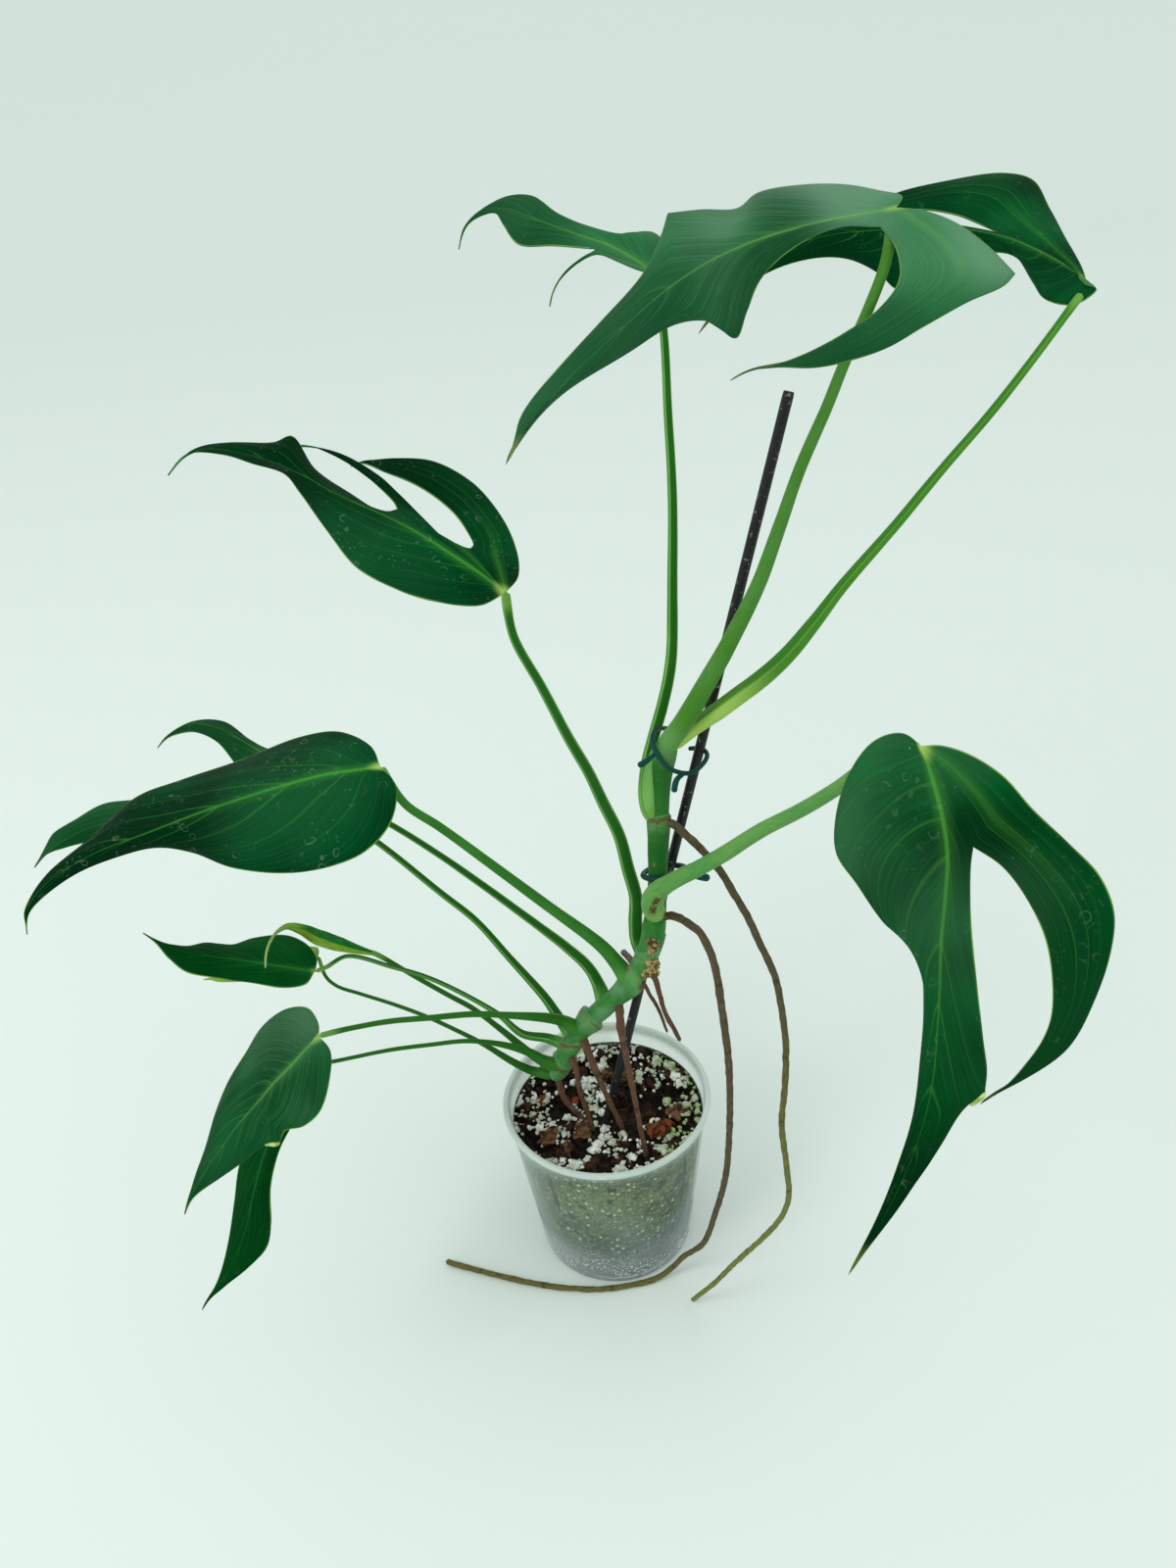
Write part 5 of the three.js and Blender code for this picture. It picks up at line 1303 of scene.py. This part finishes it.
# How high the loose surface of the mix stands
def mixTop(x, y):
    waves = 1.6 * waver(x * 0.06, y * 0.06, 3) + 0.8 * waver(x * 0.2, y * 0.2, 7)
    sunk = 0.25 * max(0, math.hypot(x, y) - 48)
    return mix["top"] + waves - sunk + mix["topHeap"] * frontHeap(x, y)


# Damp peat: near black with brown fibres
def peatMaterial():
    material, add, finish = startMaterial("damp_peat")
    place = add("TexCoord", {}, out=3)
    grain = add("TexNoise", {}, place, None, 260, 5, 0.7)
    clumps = add("TexNoise", {}, place, None, 60, 3)
    colour = add("MixRGB", {}, add("MapRange", smooth, grain, 0.42, 0.64), paint("#070605"), paint("#251a12"))
    colour = add("MixRGB", {}, add("MapRange", smooth, clumps, 0.54, 0.72, 0, 0.4), colour, paint("#3f3222"))
    finish(Base_Color=colour, Roughness=0.95, Specular_IOR_Level=0.1,
           Normal=add("Bump", {}, Height=add("Math", plus, grain, clumps), Distance=0.002, Strength=0.9))
    return material


bm = bmesh.new()
bmesh.ops.create_circle(bm, cap_ends=True, radius=(wallAt(94) - 1.4) * mm, segments=128)
for _ in range(26):
    middle = max(bm.faces, key=lambda face: len(face.verts))
    bmesh.ops.inset_region(bm, faces=[middle], thickness=2 * mm)
bmesh.ops.triangulate(bm, faces=[max(bm.faces, key=lambda face: len(face.verts))])
for vert in bm.verts:
    vert.co.z = mixTop(vert.co.x / mm, vert.co.y / mm) * mm
soften(bm)
addPiece("mix_top", bm, [peatMaterial()], ["potting_mix"])


# Perlite: puffed white volcanic glass, matt, greened by algae beside the right wall
def perliteMaterial():
    material, add, finish = startMaterial("perlite")
    place = add("TexCoord", {}, out=3)
    tint = add("TexNoise", {}, place, None, 190, 2)
    colour = add("MixRGB", {}, add("MapRange", smooth, tint, 0.35, 0.65), paint("#c3cabb"), paint("#eff1ea"))
    stained = add("MapRange", smooth, add("TexNoise", {}, place, None, 75, 2), 0.46, 0.64, 0, 0.75)
    colour = add("MixRGB", {}, stained, colour, paint("#98a184"))
    algae = add("Math", times, add("MapRange", smooth, add("SeparateXYZ", {}, place), 0.016, 0.042, 0, 0.85),
                add("MapRange", smooth, add("TexNoise", {}, place, None, 90, 2), 0.36, 0.6))
    colour = add("MixRGB", {}, algae, colour, paint("#87a552"))
    soil = add("MapRange", smooth, add("TexNoise", {}, place, None, 420, 3), 0.58, 0.7, 0, 0.7)
    colour = add("MixRGB", {}, soil, colour, paint("#4a3f30"))
    pores = add("TexNoise", {}, place, None, 600, 2)
    finish(Base_Color=colour, Roughness=0.9, Specular_IOR_Level=0.2,
           Normal=add("Bump", {}, Height=pores, Distance=0.0006, Strength=0.6))
    return material


perlite = perliteMaterial()

# Fir bark near black and damp, rust-red fired clay, and paler split bark: all matt and rough
barkChip = plainMaterial("fir_bark", "#150e0a", "#402a1c", 0.9, 240, 0.0012, 0.1)
rustChip = plainMaterial("expanded_clay", "#3c1e10", "#7e4526", 0.9, 300, 0.0018, 0.1)
palePeat = plainMaterial("bark_fibre", "#33221a", "#74553a", 0.9, 260, 0.0014, 0.1)


# Scatters lumps over the mix where keep(x, y) says so. All but small ones stay clear of the stake.
stakeFoot = (0, -10.3)


def scatter(count, sizes, detail, rough, keep, lift):
    bm = bmesh.new()
    placed = 0
    while placed < count:
        angle = random.uniform(0, 2 * math.pi)
        reach = mix["scatter"] * math.sqrt(random.random())
        x, y = reach * math.cos(angle), reach * math.sin(angle)
        size = random.uniform(*sizes)
        if reach + size > mix["limit"] or not keep(x, y):
            continue
        if math.dist((x, y), stakeFoot) < 4 and size > 1.2:
            continue
        addLump(bm, (x, y, mixTop(x, y) + size * lift), size, detail, rough)
        placed += 1
    return bm


# Perlite lies in drifts, more of it along the wall and little in two bare spots
def perliteHere(x, y):
    cover = 0.42 + 1.5 * waver(x * 0.055, y * 0.055, 21)
    for bare, reach in (((18, -2), 14), ((17, -26), 9)):
        if math.dist((x, y), bare) < reach:
            cover -= 0.4
    if math.hypot(x, y) > 43:
        cover += 0.3
    return random.random() < cover


addPiece("perlite_large", scatter(150, (1.4, 2.7), 2, 0.6, perliteHere, 0.35), [perlite], [])
addPiece("perlite_small", scatter(780, (0.6, 1.4), 1, 0.5, perliteHere, 0.6), [perlite], [])
addPiece("bark_chips", scatter(110, (1.4, 3.4), 2, 0.9, lambda x, y: True, 0.1), [barkChip], [])
addPiece("bark_crumbs", scatter(420, (0.5, 1.2), 1, 0.9, lambda x, y: True, 0.5), [barkChip], [])
bm = bmesh.new()
for place, size in (((27, -20, 97), 6.2), ((33, -15, 95.5), 3.5), ((-38, 11, 96), 3), ((-19, 8, 96), 2.6)):
    addLump(bm, place, size, 3, 0.7, 0.7)
addPiece("clay_lumps", bm, [rustChip], [])
bm = bmesh.new()
for place, size in (((-34.6, -18.4, 96.6), 5.6), ((-14.3, -15.5, 97), 5.4), ((-26, -27, 95.4), 4.6),
                    ((13, 25.6, 95.4), 4.6), ((1.5, 27.7, 95.4), 4), ((40, -6, 95.5), 4.4)):
    addLump(bm, place, size, 3, 0.8, 0.6)
for vert in bm.verts:
    vert.co += noise.noise_vector(vert.co * 900) * 0.5 * mm
addPiece("bark_lumps", bm, [palePeat], [])

fibre = {"count": 26, "step": 3.2, "lift": 1.2, "radius": 0.32}
bm = bmesh.new()
for _ in range(fibre["count"]):
    angle, reach, heading = random.uniform(0, 6.3), random.uniform(8, 48), random.uniform(0, 6.3)
    x, y = reach * math.cos(angle), reach * math.sin(angle)
    steps = []
    for step in range(4):
        bend, gone = heading + 0.3 * step, step * fibre["step"]
        lift = fibre["lift"] + random.uniform(0, 1.5)
        steps.append((x + gone * math.cos(bend), y + gone * math.sin(bend), mixTop(x, y) + lift))
    tube(bm, steps, 6, 10, lambda angle, t, along: fibre["radius"])
flipOutward(bm)
addPiece("peat_fibres", bm, [barkChip], [])

print("stage: floor, light and camera")

# Matt wall paint: pale, a little green, without shine. The floor curves up behind, in metres.
floorPaint, _, finish = startMaterial("floor_paint")
finish(Base_Color=paint("#e6f0eb"), Roughness=0.8)
cove = {"reach": 4, "radius": 1.5, "steps": 12}
bm = bmesh.new()
bmesh.ops.create_grid(bm, x_segments=1, y_segments=1, size=cove["reach"])
backEdge = max(bm.edges, key=lambda edge: sum(vert.co.y for vert in edge.verts))
for turnStep in range(1, cove["steps"] + 1):
    angle = math.radians(90 * turnStep / cove["steps"])
    made = bmesh.ops.extrude_edge_only(bm, edges=[backEdge])["geom"]
    backEdge = next(item for item in made if isinstance(item, bmesh.types.BMEdge))
    for vert in backEdge.verts:
        vert.co.y = cove["reach"] + cove["radius"] * math.sin(angle)
        vert.co.z = cove["radius"] * (1 - math.cos(angle))
soften(bm)
floor = addObject("floor", bm, [floorPaint])
floor.location.z = cadLow[2]
floor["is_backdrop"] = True

world = bpy.data.worlds.new("pale_room")
bpy.context.scene.world = world
world.use_nodes = True
sky = world.node_tree.nodes["Background"]
sky.inputs["Color"].default_value = paint("#f0f6f3")
sky.inputs["Strength"].default_value = 0.95


def addLamp(name, place, target, size, power):
    lamp = bpy.data.lights.new(name, "AREA")
    lamp.size = size
    lamp.energy = power
    thing = bpy.data.objects.new(name, lamp)
    thing.location = place
    thing.rotation_euler = (Vector(target) - Vector(place)).to_track_quat("-Z", "Y").to_euler()
    bpy.context.scene.collection.objects.link(thing)
    thing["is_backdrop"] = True


addLamp("window_light", (-1.5, -1.0, 1.9), (0, 0, 0.25), 0.9, 14)
addLamp("room_light", (1.6, -1.2, 1.3), (0, 0, 0.3), 1.6, 2)

# The camera stands in front and looks down by 31 degrees, slightly rolled
viewpoint = {"place": (0.0044, -0.4893, 0.6125), "pitch": 31.13, "roll": -4.8, "lens": 27.07, "sensor": 36}
pitch, roll = math.radians(viewpoint["pitch"]), math.radians(viewpoint["roll"])
ahead = Vector((0, math.cos(pitch), -math.sin(pitch)))
upright = Vector((0, math.sin(pitch), math.cos(pitch)))
across = Vector((1, 0, 0)) * math.cos(roll) + upright * math.sin(roll)
above = upright * math.cos(roll) - Vector((1, 0, 0)) * math.sin(roll)
lens = bpy.data.cameras.new("camera")
lens.sensor_fit = "VERTICAL"
lens.sensor_height = viewpoint["sensor"]
lens.lens = viewpoint["lens"]
lens.dof.use_dof = False
camera = bpy.data.objects.new("camera", lens)
turned = Matrix((across, above, -ahead)).transposed().to_4x4()
camera.matrix_world = Matrix.Translation(viewpoint["place"]) @ turned
bpy.context.scene.collection.objects.link(camera)
bpy.context.scene.camera = camera

bpy.context.scene.view_settings.view_transform = "Standard"

low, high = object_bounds()
